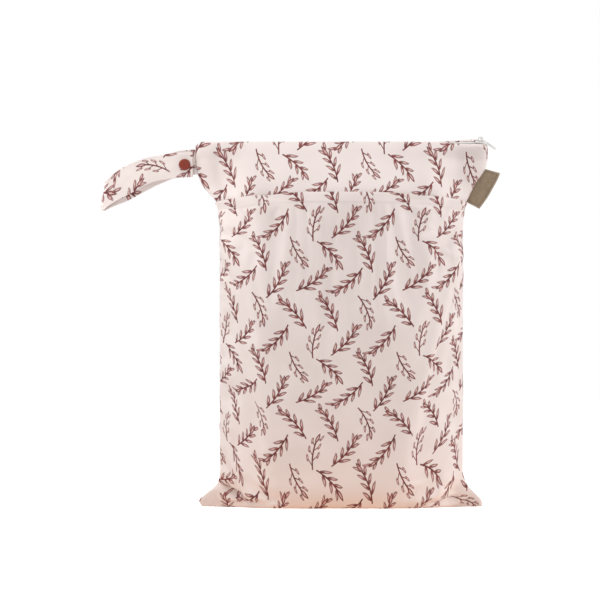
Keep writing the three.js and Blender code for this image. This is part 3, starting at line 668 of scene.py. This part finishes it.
def settle(piece, pin_of, most):
    """Lets the cloth settle between its seams by simulation: it has a little more cloth than room, so it
    buckles as real cloth does. No point moves further than most says."""
    frames = 14
    start = [vert.co.copy() for vert in piece.data.vertices]
    pins = piece.vertex_groups.new(name="pins")
    for index in range(len(start)):
        pins.add([index], pin_of[index], "REPLACE")
    cloth = piece.modifiers.new("cloth", "CLOTH")
    settings = {
        "quality": 6, "mass": 0.2, "tension_stiffness": 12, "compression_stiffness": 12,
        "shear_stiffness": 4, "bending_stiffness": 0.05, "tension_damping": 8, "compression_damping": 8,
        "shear_damping": 8, "air_damping": 2, "shrink_min": -0.03, "use_pressure": True,
        "uniform_pressure_force": 0.6, "vertex_group_mass": "pins", "pin_stiffness": 1,
    }
    for name, value in settings.items():
        setattr(cloth.settings, name, value)
    cloth.settings.effector_weights.gravity = 0.1
    cloth.collision_settings.use_collision = False
    cloth.point_cache.frame_start = 1
    cloth.point_cache.frame_end = frames
    for number in range(1, frames + 1):
        bpy.context.scene.frame_set(number)
    moved = piece.evaluated_get(bpy.context.evaluated_depsgraph_get()).data
    settled = [vert.co.copy() for vert in moved.vertices]
    piece.modifiers.remove(cloth)
    bpy.context.scene.frame_set(1)
    for vert, was, now, room in zip(piece.data.vertices, start, settled, most):
        way = now - was
        if way.length > room:
            way *= room / way.length
        vert.co = was + way
        vert.co.z = max(vert.co.z, floor_clear)


def grid_spots(shape, columns, rows):
    """Fills a shape with a flat grid of quads, and gives the row and column of each of its points."""
    bmesh.ops.create_grid(shape, x_segments=columns, y_segments=rows, size=1)
    return {
        vert: (round((vert.co.y + 1) / 2 * rows), round((vert.co.x + 1) / 2 * columns))
        for vert in shape.verts}


def cloth_panel(name, ups, side, steps, folds, lift, thick, shift, seed, hem=()):
    """A panel as a sheet: a grid of quads laid on the filled form. A hem's rows turn in at the top. Each is
    given as the row in front of it, counted from the top edge, how far behind, and its cloth past it."""
    rows = [cloth_row(up, side, steps) for up in ups]
    grid = [[point for point, _ in row] for row in rows]
    normals = facing(grid, side)
    for r, up in enumerate(ups):
        widest = max(abs(grid[r][0].x), abs(grid[r][-1].x))
        half_row = abs(rows[r][0][1])
        seam_y = bottom_seam_back * section_value("seam_back", up)
        for c, point in enumerate(grid[r]):
            depth = 0
            for fold_up, fold_across, tall, wide, lean, deep in folds:
                sideways = (point.x / widest - fold_across) / wide
                upwards = (up - fold_up) / tall - lean * sideways
                depth += deep * half_depth * math.exp(-upwards * upwards - sideways * sideways)
            room = abs(point.y - seam_y)
            flat = (rows[r][c][1], up * cloth_length)
            from_seam = half_row - abs(flat[0])
            seam_share = math.exp(-from_seam / pucker_reach)
            raised = crumple(flat, seam_share, seed) * smoothstep(room, 0, fold_room * 0.6)
            raised *= 1 - smoothstep(up, calm_from, rim_up)
            point += normals[r][c] * (raised - depth * smoothstep(room, 0, fold_room))
            point.z = max(point.z, floor_clear)
    normals = facing(grid, side)
    edge = len(ups) - 1
    behind = [0] * len(ups) + [back for _, back, _ in hem]
    run = [up * cloth_length for up in ups] + [ups[-1] * cloth_length + past for _, _, past in hem]
    front_of = list(range(len(ups))) + [edge - down for down, _, _ in hem]
    shape = bmesh.new()
    layer = shape.loops.layers.uv.new("cloth")
    spots = grid_spots(shape, steps, len(run) - 1)
    for vert, (r, c) in spots.items():
        front = front_of[r]
        out = lift(ups[front]) + shell - thick / 2 - behind[r]
        vert.co = grid[front][c] + normals[front][c] * out
        if c in (0, steps):
            vert.co.y -= side * seam_close
        vert.co.z = max(vert.co.z, thick / 2)
        for loop in vert.link_loops:
            loop[layer].uv = (rows[front][c][1], run[r])
    if side > 0:
        bmesh.ops.reverse_faces(shape, faces=shape.faces)
    pin_of, most = [], []
    for vert, (r, c) in spots.items():
        up = ups[front_of[r]]
        room = abs(vert.co.y - bottom_seam_back * section_value("seam_back", up))
        in_lap = side < 0 and lap_held[0] < up < lap_held[1]
        held = c in (0, steps) or r == 0 or up >= held_from or vert.co.z < held_below or in_lap
        pin_of.append(1 if held else 0)
        most.append(min(most_move, move_share * room))
    piece = add_piece(name, shape)
    settle(piece, pin_of, most)
    piece.data.materials.append(printed_cloth(name + "_print", shift))
    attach(piece, "bag")
    laid = [[None] * (steps + 1) for _ in run]
    for vert, (r, c) in zip(piece.data.vertices, spots.values()):
        laid[r][c] = vert.co.copy()
    return piece, laid[:len(ups)]


def give_thickness(piece, thick):
    """A solid wall about the sheet, with its edges rounded by one subdivision."""
    wall = piece.modifiers.new("wall", "SOLIDIFY")
    wall.thickness = thick
    wall.offset = 0
    wall.use_even_offset = False
    smooth = piece.modifiers.new("smooth", "SUBSURF")
    smooth.levels = 1
    smooth.render_levels = 1


def heights(stops, counts):
    """Heights from one stop to the next, with so many steps between them."""
    ups = [stops[0]]
    for low, high, count in zip(stops, stops[1:], counts):
        ups += [lerp(low, high, k / count) for k in range(1, count + 1)]
    return ups


# The front panel is one piece of cloth from the bottom seam up. Its top edge is folded over into a hem
# and laps over the yoke, so that it stands out from it by the thickness of both.
yoke_length = 60 * mm
yoke_lap = 11 * mm
lap_ramp = 26 * mm
lap_clear = 0.45 * mm
hem_depth = 9 * mm
hem_ply = 0.5 * mm
hem_turn = 0.45 * mm
hem_ease = 2 * mm
held_past = 1 * mm
front_thick = 0.8 * mm
lap_edge = 1 - yoke_length / cloth_length
yoke_from = lap_edge - yoke_lap / cloth_length
ramp_from = yoke_from - lap_ramp / cloth_length
hem_from = lap_edge - hem_depth / cloth_length
lap_held = (yoke_from - hem_ease / cloth_length, lap_edge + held_past / cloth_length)
across_steps = 96


def front_lift(up):
    """How far the front panel stands out: over the yoke, and once more where the hem doubles it."""
    over_yoke = (shell + lap_clear) * smoothstep(up, ramp_from, yoke_from)
    return over_yoke + hem_ply * smoothstep(up, hem_from - hem_ease / cloth_length, hem_from)


front_ups = heights([0, 0.2, ramp_from, yoke_from, hem_from, lap_edge], [34, 70, 9, 2, 4])
# Three rows round the folded edge, then four down the hem's inner ply.
front_hem = [(0, 0.15 * hem_turn, 0.1 * mm), (0, hem_turn, 0.8 * mm), (0, 1.85 * hem_turn, 1.5 * mm)]
front_hem += [(down, 2 * hem_turn, 1.6 * mm + down * hem_depth / 4) for down in (1, 2, 3, 4)]
front_cloth, front_laid = cloth_panel(
    "front_cloth", front_ups, -1, across_steps, front_folds, front_lift, front_thick, (0.012, 0.03), 1.5,
    front_hem)
give_thickness(front_cloth, front_thick)
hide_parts("front_panel")


press_depth = 0.75 * mm
press_from = 0.986
press_full = 0.998


def zip_press(up):
    """How far a panel's top edge is pressed down onto the zip tape that it is sewn to."""
    return -press_depth * smoothstep(up, press_from, press_full)


# The yoke is the strip between the lapped edge and the zip, cut from the same roll. It is sewn into the
# side seams, runs down behind the front panel's hem, and its top edge lies flat over the zip tape.
yoke_thick = 0.9 * mm
yoke_ups = heights([yoke_from, lap_edge, 0.95, rim_up, 1], [4, 9, 10, 2])
yoke_cloth, yoke_laid = cloth_panel(
    "yoke_cloth", yoke_ups, -1, across_steps, front_folds, zip_press, yoke_thick, (0.047, 0.055), 1.5)
give_thickness(yoke_cloth, yoke_thick)
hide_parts("front_yoke")

# The back is one piece from the bottom seam to the zip, sewn to the front all the way down both sides.
back_thick = 0.9 * mm
back_ups = heights([0, 0.2, yoke_from, 0.95, rim_up, 1], [26, 72, 14, 10, 2])
back_cloth, back_laid = cloth_panel(
    "back_cloth", back_ups, 1, across_steps, back_folds, zip_press, back_thick, (0.03, 0.01), 7.5)
give_thickness(back_cloth, back_thick)
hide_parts("back_panel")


# Rows of sewing hold the hem and the cloth beside the zip: off-white polyester thread in short stitches,
# each sunk into the cloth at its ends.
stitch_length = 2.5 * mm
stitch_step = 3.1 * mm
thread_wide = 0.5 * mm
thread_high = 0.34 * mm
stitch_sizes = (stitch_length / 2, thread_wide / 2, thread_high / 2)


def thread_material():
    """Off-white polyester thread with a slight twist along it."""
    material, tree, shader = new_material("sewing_thread")
    grain = noise_over(add_node(tree, "TexCoord", {}).outputs["Object"], 900)
    tone = blend_colour(grain, (0.83, 0.76, 0.73, 1), (0.70, 0.61, 0.58, 1))
    feed(shader, {"Base Color": tone, "Roughness": 0.6, "Sheen Weight": 0.2})
    return material


sewing_thread = thread_material()


def bead_mesh(around, rings):
    """A round bead one unit in radius, to be copied with its own place, turn and size."""
    shape = bmesh.new()
    bmesh.ops.create_uvsphere(shape, u_segments=around, v_segments=rings, radius=1)
    mesh = bpy.data.meshes.new("bead")
    shape.to_mesh(mesh)
    shape.free()
    return mesh


def add_bead(shape, bead, middle, way, aside, size):
    """Adds a copy of a bead to a shape: its middle, its first and second directions, and its half sizes."""
    turn = Matrix((way, aside, way.cross(aside))).transposed().to_4x4()
    copy = bead.copy()
    copy.transform(Matrix.Translation(middle) @ turn @ Matrix.Diagonal((*size, 1)))
    shape.from_mesh(copy)
    bpy.data.meshes.remove(copy)


stitch_bead = bead_mesh(8, 5)


def sewn_row(name, points, normals, slot):
    """One row of stitches along a line of points, each stitch a small flattened bead of thread."""
    shape = bmesh.new()
    along = run_along(points)
    count = int(along[-1] / stitch_step)
    stops = [(i + 0.5) * along[-1] / count for i in range(count)]
    for k, share in places_along(along, stops):
        way = (points[k] - points[k - 1]).normalized()
        aside = normals[k - 1].lerp(normals[k], share).normalized().cross(way).normalized()
        middle = points[k - 1].lerp(points[k], share)
        add_bead(shape, stitch_bead, middle, way, aside, stitch_sizes)
    piece = add_piece(name, shape)
    piece.data.materials.append(sewing_thread)
    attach(piece, "bag")


def row_on_cloth(laid, ups, up, side, thick):
    """The points and outward directions of the row of a panel's grid nearest to a height, on its face."""
    r = min(range(len(ups)), key=lambda i: abs(ups[i] - up))
    normals = facing(laid, side)[r]
    points = [point + out * thick / 2 for point, out in zip(laid[r], normals)]
    return points[1:-1], normals[1:-1]


panel_sewing = {
    "hem_stitches": (front_laid, front_ups, hem_from, -1, front_thick),
    "zip_stitches_front": (yoke_laid, yoke_ups, rim_up, -1, yoke_thick),
    "zip_stitches_back": (back_laid, back_ups, rim_up, 1, back_thick),
}
for name, row in panel_sewing.items():
    sewn_row(name, *row_on_cloth(*row), "printed_cloth")


# The strap is a flat sewn band of the same print, doubled into a loop. One ply is sewn into the left side
# seam, the other comes back in front of it, and the press snap joins the two. Both long edges are sewn.
strap_width = 26 * mm
strap_thick = 2 * mm
strap_loop = 98 * mm
strap_droop = math.radians(36)
strap_shear = 0.7
strap_z = bag_height - 23.5 * mm
strap_end_from_seam = 3 * mm
# How far the plies swell apart, slip off each other's edge and sag, and from where to where along the band.
loop_swell = 1.6 * mm
ply_slip = 3.6 * mm
lower_sag = 2.6 * mm
sag_from = 0.4
sag_to = 1.08
slip_from = 5 * mm
slip_full = 60 * mm
slip_back_from = 76 * mm
slip_back = 0.6
ply_start = 2.4 * mm
start_until = 12 * mm
start_gone = 45 * mm
free_rise = 1.9 * mm
rise_past = 14 * mm
snap_from_seam = 11.5 * mm
snap_cap = 12 * mm
snap_stack = 4.2 * mm
ply_apart = snap_stack + strap_thick
strap_steps = 54
strap_turn_steps = 12
strap_across = 16
padding_share = 0.9
edge_sewing = 2.4 * mm
edge_at = 0.4
sewn_width = 1.1 * mm
sewn_dip = 0.42
thread_share = 0.33
# The band's creases, the shape of its turned end, and how it meets the seam.
crease_high = 0.7 * mm
edge_wander = 0.5 * mm
snap_fan = 0.5 * mm
snap_calm = 9 * mm
end_from = 0.72
corner_round = 1.2 * mm
tip_bulge = 8.5 * mm
tip_trim = 2.5 * mm
tip_out = 1.5 * mm
lower_forward = 2.2 * mm
seam_bulge = 0.7 * mm
seam_clear = 0.2 * mm
seam_low = 300 * mm
seam_high = 370 * mm
halvings = 24


def seam_reach(z, side):
    """How far the side seam stands out at a height, for what is sewn into its upper half."""
    low, high = 0.5, 0.985
    for _ in range(halvings):
        middle = (low + high) / 2
        if inner_cloth(section_at(middle), side, -1).z < z:
            low = middle
        else:
            high = middle
    return abs(inner_cloth(section_at(low), side, -1).x) + seam_bulge


strap_start = -seam_reach(strap_z, -1)


def strap_place(along):
    """The middle of the strap at a distance from the seam, and its direction across."""
    angle = strap_droop * along / strap_loop
    lean = angle * (1 - strap_shear * along / strap_loop)
    radius = strap_loop / strap_droop
    middle = Vector((strap_start - radius * math.sin(angle), 0, strap_z - radius * (1 - math.cos(angle))))
    return middle, Vector((-math.sin(lean), 0, math.cos(lean)))


def strap_stations():
    """Where the band runs: out as the sewn ply, round the loop's end and back as the free ply."""
    turn = ply_apart / 2
    bend_at = strap_loop - turn - strap_thick / 2
    past_snap = snap_from_seam + snap_cap / 2

    def swell(along):
        return loop_swell * math.sin(math.pi * smoothstep(along, past_snap, bend_at)) ** 2

    def slip(along):
        start = ply_start * (1 - smoothstep(along, start_until, start_gone))
        lower = ply_slip * smoothstep(along, slip_from, slip_full)
        return start - lower * (1 - slip_back * smoothstep(along, slip_back_from, bend_at))

    stations = []
    for i in range(strap_steps + 1):
        along = bend_at * i / strap_steps
        stations.append((along, swell(along), slip(along)))
    for i in range(1, strap_turn_steps):
        angle = math.pi * i / strap_turn_steps
        rest = slip(bend_at) * (1 + math.cos(angle)) / 2
        stations.append((bend_at + turn * math.sin(angle), -turn + turn * math.cos(angle), rest))
    for i in range(strap_steps, -1, -1):
        along = lerp(strap_end_from_seam, bend_at, i / strap_steps)
        rise = free_rise * math.sin(math.pi * smoothstep(along, past_snap, bend_at + rise_past))
        stations.append((along, -ply_apart - swell(along), rise))
    return stations


def strap_band():
    """The doubled band as rows of points across it, one at each station, each with its run along the band;
    the grid of quads laid on them is made thinner where it is sewn.
    """
    rows = []
    run = 0.0
    last = None
    for along, y, slip in strap_stations():
        middle, across = strap_place(along)
        spine = Vector((middle.x, y, middle.z))
        run += 0 if last is None else (spine - last).length
        last = spine
        snap_near = math.exp(-((along - snap_from_seam) / snap_calm) ** 2)
        angle = strap_droop * along / strap_loop
        outward = Vector((-math.cos(angle), 0, -math.sin(angle)))
        turned_end = smoothstep(along, strap_loop * end_from, strap_loop)
        sagged = math.sin(math.pi * smoothstep(along, strap_loop * sag_from, strap_loop * sag_to))
        line = []
        for c in range(strap_across + 1):
            share = c / strap_across - 0.5
            upper, lower, below = max(0, 2 * share), 0.5 - share, max(0, -2 * share)
            point = spine + across * (share * strap_width + slip)
            crease = noise.noise(Vector((run * 70, share * 3, 4.5))) * crease_high
            fan = snap_fan * snap_near * math.cos(share * 24) * abs(share) * 2
            point.y += crease * (1 - snap_near) + fan
            point += across * noise.noise(Vector((run * 40, 8.1, 0))) * edge_wander
            # The turned end is rounded at its top corner and bulges out below, where it hangs forward.
            bulge = tip_bulge * smoothstep(lower, 0.2, 0.85) - tip_trim * max(0, 5 * lower - 4) ** 2
            point -= (across + outward) * corner_round * turned_end * upper ** 3
            point += outward * (bulge + tip_out) * turned_end
            point.y -= lower_forward * turned_end * below ** 2
            point -= across * lower_sag * sagged * below ** 2
            edge = -seam_reach(min(max(point.z, seam_low), seam_high), -1)
            point.x = edge if along == 0 else min(point.x, edge - seam_clear)
            line.append(point)
        rows.append((line, run))
    return rows


strap_rows = strap_band()
shape = bmesh.new()
layer = shape.loops.layers.uv.new("cloth")
strap_weights = []
for vert, (r, c) in grid_spots(shape, strap_across, len(strap_rows) - 1).items():
    line, run = strap_rows[r]
    vert.co = line[c]
    aside = abs(c / strap_across - 0.5) * strap_width
    strap_weights.append(
        1 - sewn_dip * math.exp(-((strap_width / 2 - aside - edge_sewing) / sewn_width) ** 2))
    for loop in vert.link_loops:
        loop[layer].uv = (c / strap_across * strap_width, run)
strap_cloth = add_piece("strap_cloth", shape)
padding = strap_cloth.vertex_groups.new(name="padding")
for index, weight in enumerate(strap_weights):
    padding.add([index], weight, "REPLACE")
strap_cloth.data.materials.append(printed_cloth("strap_print", (0.021, 0.004)))
give_thickness(strap_cloth, strap_thick * padding_share)
strap_cloth.modifiers["wall"].vertex_group = "padding"
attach(strap_cloth, "bag")
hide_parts("strap")


def strap_sewing(name, share, first, last, out):
    """A row of stitches along one edge of one of the strap's plies."""
    c = round((share + 0.5) * strap_across)
    raised = Vector((0, out * strap_thick * thread_share, 0))
    points = [line[c] + raised for line, _ in strap_rows[first:last]]
    sewn_row(name, points, [Vector((0, out, 0))] * len(points), "printed_cloth")


ply_rows = strap_steps + strap_turn_steps // 2
for edge_name, share in (("upper", edge_at), ("lower", -edge_at)):
    strap_sewing("strap_stitches_front_" + edge_name, share, ply_rows + 6, len(strap_rows) - 1, -1)
    strap_sewing("strap_stitches_back_" + edge_name, share, 1, ply_rows - 5, 1)


# The press snap is moulded resin: a domed cap with a post through each ply, and a socket and a stud that
# click together between the plies. Each part is turned about the snap's axis, which runs front to back.
cap_height = 1.7 * mm
post_radius = 1.2 * mm
socket_radius = 4.6 * mm
stud_radius = 4.2 * mm
nub_radius = 1.9 * mm
nub_depth = 1.1 * mm
front_face = -ply_apart - strap_thick / 2
front_inner = front_face + strap_thick
back_face = strap_thick / 2
back_inner = back_face - strap_thick
meet = (front_inner + back_inner) / 2
nub_top = front_inner + seam_gap + nub_depth
cap_radius = snap_cap / 2
snap_middle, _ = strap_place(snap_from_seam)


def cap_outline(face, way):
    """A cap's outline from its rim to its middle: a rounded rim and a shallow dish inside it."""
    outline = [
        (0.90, 0), (1, 0.16), (1, 0.4), (0.95, 0.7), (0.84, 0.93),
        (0.7, 1), (0.56, 0.93), (0.42, 0.8), (0.2, 0.74), (0, 0.73),
    ]
    foot = seam_gap * 0.3
    return [(wide * cap_radius, face + way * (foot + high * cap_height)) for wide, high in outline]


snap_profiles = {
    "snap_front_cap": ("snap_cap", "rust_plastic", [
        *reversed(cap_outline(front_face, -1)), (post_radius, front_face), (post_radius, nub_top - seam_gap),
        (0, nub_top - seam_gap)]),
    "snap_rear_cap": ("snap_back_cap", "rust_plastic", [
        (0, meet + 2 * seam_gap), (post_radius, meet + 2 * seam_gap), (post_radius, back_face),
        *cap_outline(back_face, 1)]),
    "snap_socket_ring": ("snap_socket", "pale_plastic", [
        (post_radius + seam_gap, front_inner + seam_gap), (socket_radius * 0.96, front_inner + seam_gap),
        (socket_radius, front_inner + 1.6 * seam_gap), (socket_radius, front_inner + 4 * seam_gap),
        (socket_radius * 0.8, meet - seam_gap / 2), (nub_radius + seam_gap, meet - seam_gap / 2),
        (nub_radius + seam_gap, nub_top - seam_gap), (post_radius + seam_gap, nub_top - seam_gap),
        (post_radius + seam_gap, front_inner + seam_gap)]),
    "snap_stud_disc": ("snap_stud", "pale_plastic", [
        (0, nub_top), (nub_radius * 0.85, nub_top), (nub_radius, nub_top + seam_gap),
        (nub_radius, meet + seam_gap / 2), (stud_radius * 0.95, meet + seam_gap / 2),
        (stud_radius, meet + 1.4 * seam_gap), (stud_radius, back_inner - seam_gap),
        (post_radius + seam_gap, back_inner - seam_gap), (post_radius + seam_gap, meet + seam_gap),
        (0, meet + seam_gap)]),
}


def wear_effect():
    """Fine scratches and a slow unevenness for moulded and enamelled pieces, by their own coordinates."""
    tree, given, out = effect(
        "fine_wear",
        [("Place", "Vector", None), ("Scale", "Float", 300.0)],
        [("Height", "Float"), ("Patches", "Float")],
    )
    place = given.outputs["Place"]
    feed(out, {"Height": noise_over(place, given.outputs["Scale"], 4), "Patches": noise_over(place, 120)})
    return tree


fine_wear = wear_effect()


def moulded(name, light, dark, smooth, rough, coat):
    """Moulded resin, nylon or enamel: two near tones in soft patches, and a fine uneven skin."""
    material, tree, shader = new_material(name)
    place = add_node(tree, "TexCoord", {}).outputs["Object"]
    worn = placed(tree, fine_wear, Place=place, Scale=700.0).outputs
    feed(shader, {
        "Base Color": blend_colour(ramp(worn["Patches"], 0.3, 0.7), light, dark),
        "Roughness": plus(times(worn["Height"], rough - smooth), smooth),
        "Coat Weight": coat, "Coat Roughness": 0.25,
        "Normal": bumped(worn["Height"], 0.15, 0.00005),
    })
    return material


rust_resin = moulded("rust_resin", (0.235, 0.028, 0.011, 1), (0.185, 0.022, 0.009, 1), 0.32, 0.5, 0.08)
pale_resin = moulded("pale_resin", (0.72, 0.65, 0.60, 1), (0.64, 0.56, 0.52, 1), 0.35, 0.55, 0.1)
snap_materials = {"rust_plastic": rust_resin, "pale_plastic": pale_resin}
for name, (node, slot, profile) in snap_profiles.items():
    shape = bmesh.new()
    verts = [shape.verts.new((radius, y, 0)) for radius, y in profile]
    edges = [shape.edges.new(pair) for pair in zip(verts, verts[1:])]
    bmesh.ops.spin(
        shape, geom=verts + edges, cent=(0, 0, 0), axis=(0, 1, 0), angle=2 * math.pi, steps=40,
        use_merge=True)
    bmesh.ops.remove_doubles(shape, verts=shape.verts, dist=1e-6)
    bmesh.ops.recalc_face_normals(shape, faces=shape.faces)
    bmesh.ops.translate(shape, verts=shape.verts, vec=snap_middle)
    piece = add_piece(name, shape)
    piece.data.materials.append(snap_materials[slot])
    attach(piece, "bag")
    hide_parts(node)


# The label is a short strip of taupe ribbon folded in half, its open ends sewn into the right side seam.
# It is bare, with a row of stitches of its own colour beside the fold.
label_drop = 34 * mm
label_width = 15.5 * mm
label_from_top = 28 * mm
label_curl = 3 * mm
label_ply = 0.5 * mm
label_apart = 0.85 * mm
label_up_steps = 36
label_out_steps = 14
label_turn_steps = 4
border_inset = 2 * mm
label_fuller = 0.15
label_wave = 0.5 * mm
label_spread = 1.1 * mm


def ribbon_material():
    """Taupe ribbon: a fine rib of warp threads with weft across, paler where it is rubbed at the edges."""
    material, tree, shader = new_material("taupe_ribbon")
    measure = add_node(tree, "UVMap", {}, uv_map="cloth").outputs[0]
    threads = placed(tree, fine_threads, Cloth=measure, Pitch=0.0011).outputs["Height"]
    flecks = ramp(noise_over(measure, 260, 4), 0.35, 0.7)
    ground = blend_colour(flecks, (0.302, 0.224, 0.152, 1), (0.225, 0.162, 0.104, 1))
    weave = blend_colour(times(threads, 0.35), ground, (0.387, 0.298, 0.204, 1))
    place = split(measure)
    from_end = less(label_drop / 2, size_of(less(place["Y"], label_drop / 2)))
    from_edge = smaller(from_end, size_of(less(place["X"], label_width)))
    rubbed = less(1, ramp(from_edge, 0.0, 0.0012))
    worn = blend_colour(times(rubbed, 0.5), weave, (0.50, 0.42, 0.34, 1))
    # A woven border line runs inside the ends and the fold, in a darker thread.
    border = less(1, ramp(size_of(less(from_edge, border_inset)), 0.0002, 0.0006))
    dashes = ramp(sine(times(plus(place["X"], place["Y"]), 3000)), -0.6, 0.2)
    sewn = times(times(border, dashes), 0.7)
    feed(shader, {
        "Base Color": blend_colour(sewn, worn, (0.12, 0.075, 0.05, 1)),
        "Roughness": 0.82, "Sheen Weight": 0.1, "Normal": bumped(threads, 0.5, 0.00015),
    })
    return material


label_top = bag_height - label_from_top
label_bottom = label_top - label_drop
seam_top = Vector((seam_reach(label_top, 1), 0, label_top))
seam_bottom = Vector((seam_reach(label_bottom, 1), 0, label_bottom))
label_along = (seam_top - seam_bottom).normalized()
label_square = Vector((label_along.z, 0, -label_along.x))
label_lift_top = math.radians(13)
label_lift_bottom = math.radians(5)
fold_radius = label_apart / 2
label_path = [(label_width - fold_radius) * i / label_out_steps for i in range(label_out_steps + 1)]
label_sections = [(out, -fold_radius) for out in label_path]
for i in range(1, label_turn_steps):
    angle = math.pi * i / label_turn_steps
    label_sections.append(
        (label_width - fold_radius + fold_radius * math.sin(angle), -fold_radius * math.cos(angle)))
label_sections += [(out, fold_radius) for out in reversed(label_path)]


def label_point(out, y, share):
    """A point of the label: out from the seam, y from its middle, share of the way up it."""
    z = lerp(label_bottom, label_top, share)
    start = Vector((seam_reach(z, 1), 0, z))
    lift = lerp(label_lift_bottom, label_lift_top, share)
    fuller = 1 + label_fuller * math.sin(math.pi * share)
    point = start + Matrix.Rotation(-lift, 3, "Y") @ label_square * out * fuller
    bend = (out / label_width) ** 2
    wave = label_wave * math.sin(share * 5.2 + 0.6) * bend
    point.y += y - label_curl * bend * (1 - 0.6 * share) + wave
    point += label_along * (label_spread * (share - 0.5) * bend)
    return point


shape = bmesh.new()
layer = shape.loops.layers.uv.new("cloth")
for vert, (r, c) in grid_spots(shape, len(label_sections) - 1, label_up_steps).items():
    share = r / label_up_steps
    out, y = label_sections[c]
    vert.co = label_point(out, y, share)
    for loop in vert.link_loops:
        loop[layer].uv = (out if y < 0 else 2 * label_width - out, share * label_drop)
label_ribbon = add_piece("label_ribbon", shape)
label_ribbon.data.materials.append(ribbon_material())
give_thickness(label_ribbon, label_ply)
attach(label_ribbon, "bag")
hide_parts("side_label")


# The zip is a nylon coil: small loops from either tape that lock into each other along the middle. Both
# tapes are woven polyester, sewn under the panels' edges.
tooth_pitch = 1.25 * mm
tooth_reach = 2.3 * mm
tooth_thick = 0.95 * mm
coil_high = 1.9 * mm
tooth_root = 0.35 * mm
head_shift = 0.5 * mm
zip_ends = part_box("zip_coil")
tooth_bead = bead_mesh(8, 6)
shape = bmesh.new()
tooth_count = int((zip_ends[1].x - zip_ends[0].x) / tooth_pitch)
for i in range(tooth_count):
    x = zip_ends[0].x + (i + 0.5) * tooth_pitch
    side = 1 if i % 2 else -1
    for level in (-1, 1):
        inner = across_zip(x, -side * tooth_root, level * coil_high * 0.2)
        outer = across_zip(x, side * tooth_reach, level * coil_high * 0.3)
        way = (outer - inner).normalized()
        half_sizes = ((outer - inner).length / 2, tooth_thick / 2, tooth_thick / 2)
        add_bead(shape, tooth_bead, (inner + outer) / 2, way, Vector((1, 0, 0)), half_sizes)
    head = across_zip(x, -side * head_shift, 0)
    half_sizes = (tooth_thick * 0.62, tooth_thick * 0.62, coil_high * 0.48)
    add_bead(shape, tooth_bead, head, Vector((1, 0, 0)), Vector((0, 1, 0)), half_sizes)
zip_teeth = add_piece("zip_teeth", shape)
nylon = moulded("white_coil_nylon", (0.84, 0.82, 0.80, 1), (0.76, 0.74, 0.72, 1), 0.3, 0.5, 0.1)
zip_teeth.data.materials.append(nylon)
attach(zip_teeth, "bag")
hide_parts("zip_coil")


def tape_material():
    """Off-white woven zip tape with fine ribs across it."""
    material, tree, shader = new_material("woven_tape")
    place = add_node(tree, "TexCoord", {}).outputs["Object"]
    threads = placed(tree, fine_threads, Cloth=place, Pitch=0.0009).outputs
    feed(shader, {
        "Base Color": blend_colour(threads["Yarn"], (0.84, 0.80, 0.78, 1), (0.78, 0.73, 0.71, 1)),
        "Roughness": 0.8, "Normal": bumped(threads["Height"], 0.5, 0.00015),
    })
    return material


def repaint(names, material):
    """Gives kept pieces a better material."""
    for name in names:
        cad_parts[name].data.materials.clear()
        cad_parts[name].data.materials.append(material)


woven_tape = tape_material()
repaint(("zip_tape_front", "zip_tape_back"), woven_tape)

# The tapes' ends run on into the side seams, which closes the zip's two ends under the panels' edges.
tape_drop = 0.4 * mm
end_thick = 0.6 * mm
end_lap = 0.12
end_steps = 4
for name, columns in (("zip_tape_end_left", (0, 1, 2)), ("zip_tape_end_right", (-4, -3, -2, -1))):
    shape = bmesh.new()
    for vert, (r, c) in grid_spots(shape, len(columns) - 1, end_steps).items():
        front, back = yoke_laid[-1][columns[c]], back_laid[-1][columns[c]]
        vert.co = front.lerp(back, lerp(-end_lap, 1 + end_lap, r / end_steps)) - Vector((0, 0, tape_drop))
    piece = add_piece(name, shape)
    piece.data.materials.append(woven_tape)
    give_thickness(piece, end_thick)
    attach(piece, "bag")

# The slider and its pull tab are cast metal in white enamel, worn a little greyer in patches.
white_enamel = moulded("white_enamel_paint", (0.86, 0.86, 0.85, 1), (0.76, 0.76, 0.76, 1), 0.22, 0.4, 0.4)
repaint(("zip_slider", "zip_pull_tab"), white_enamel)
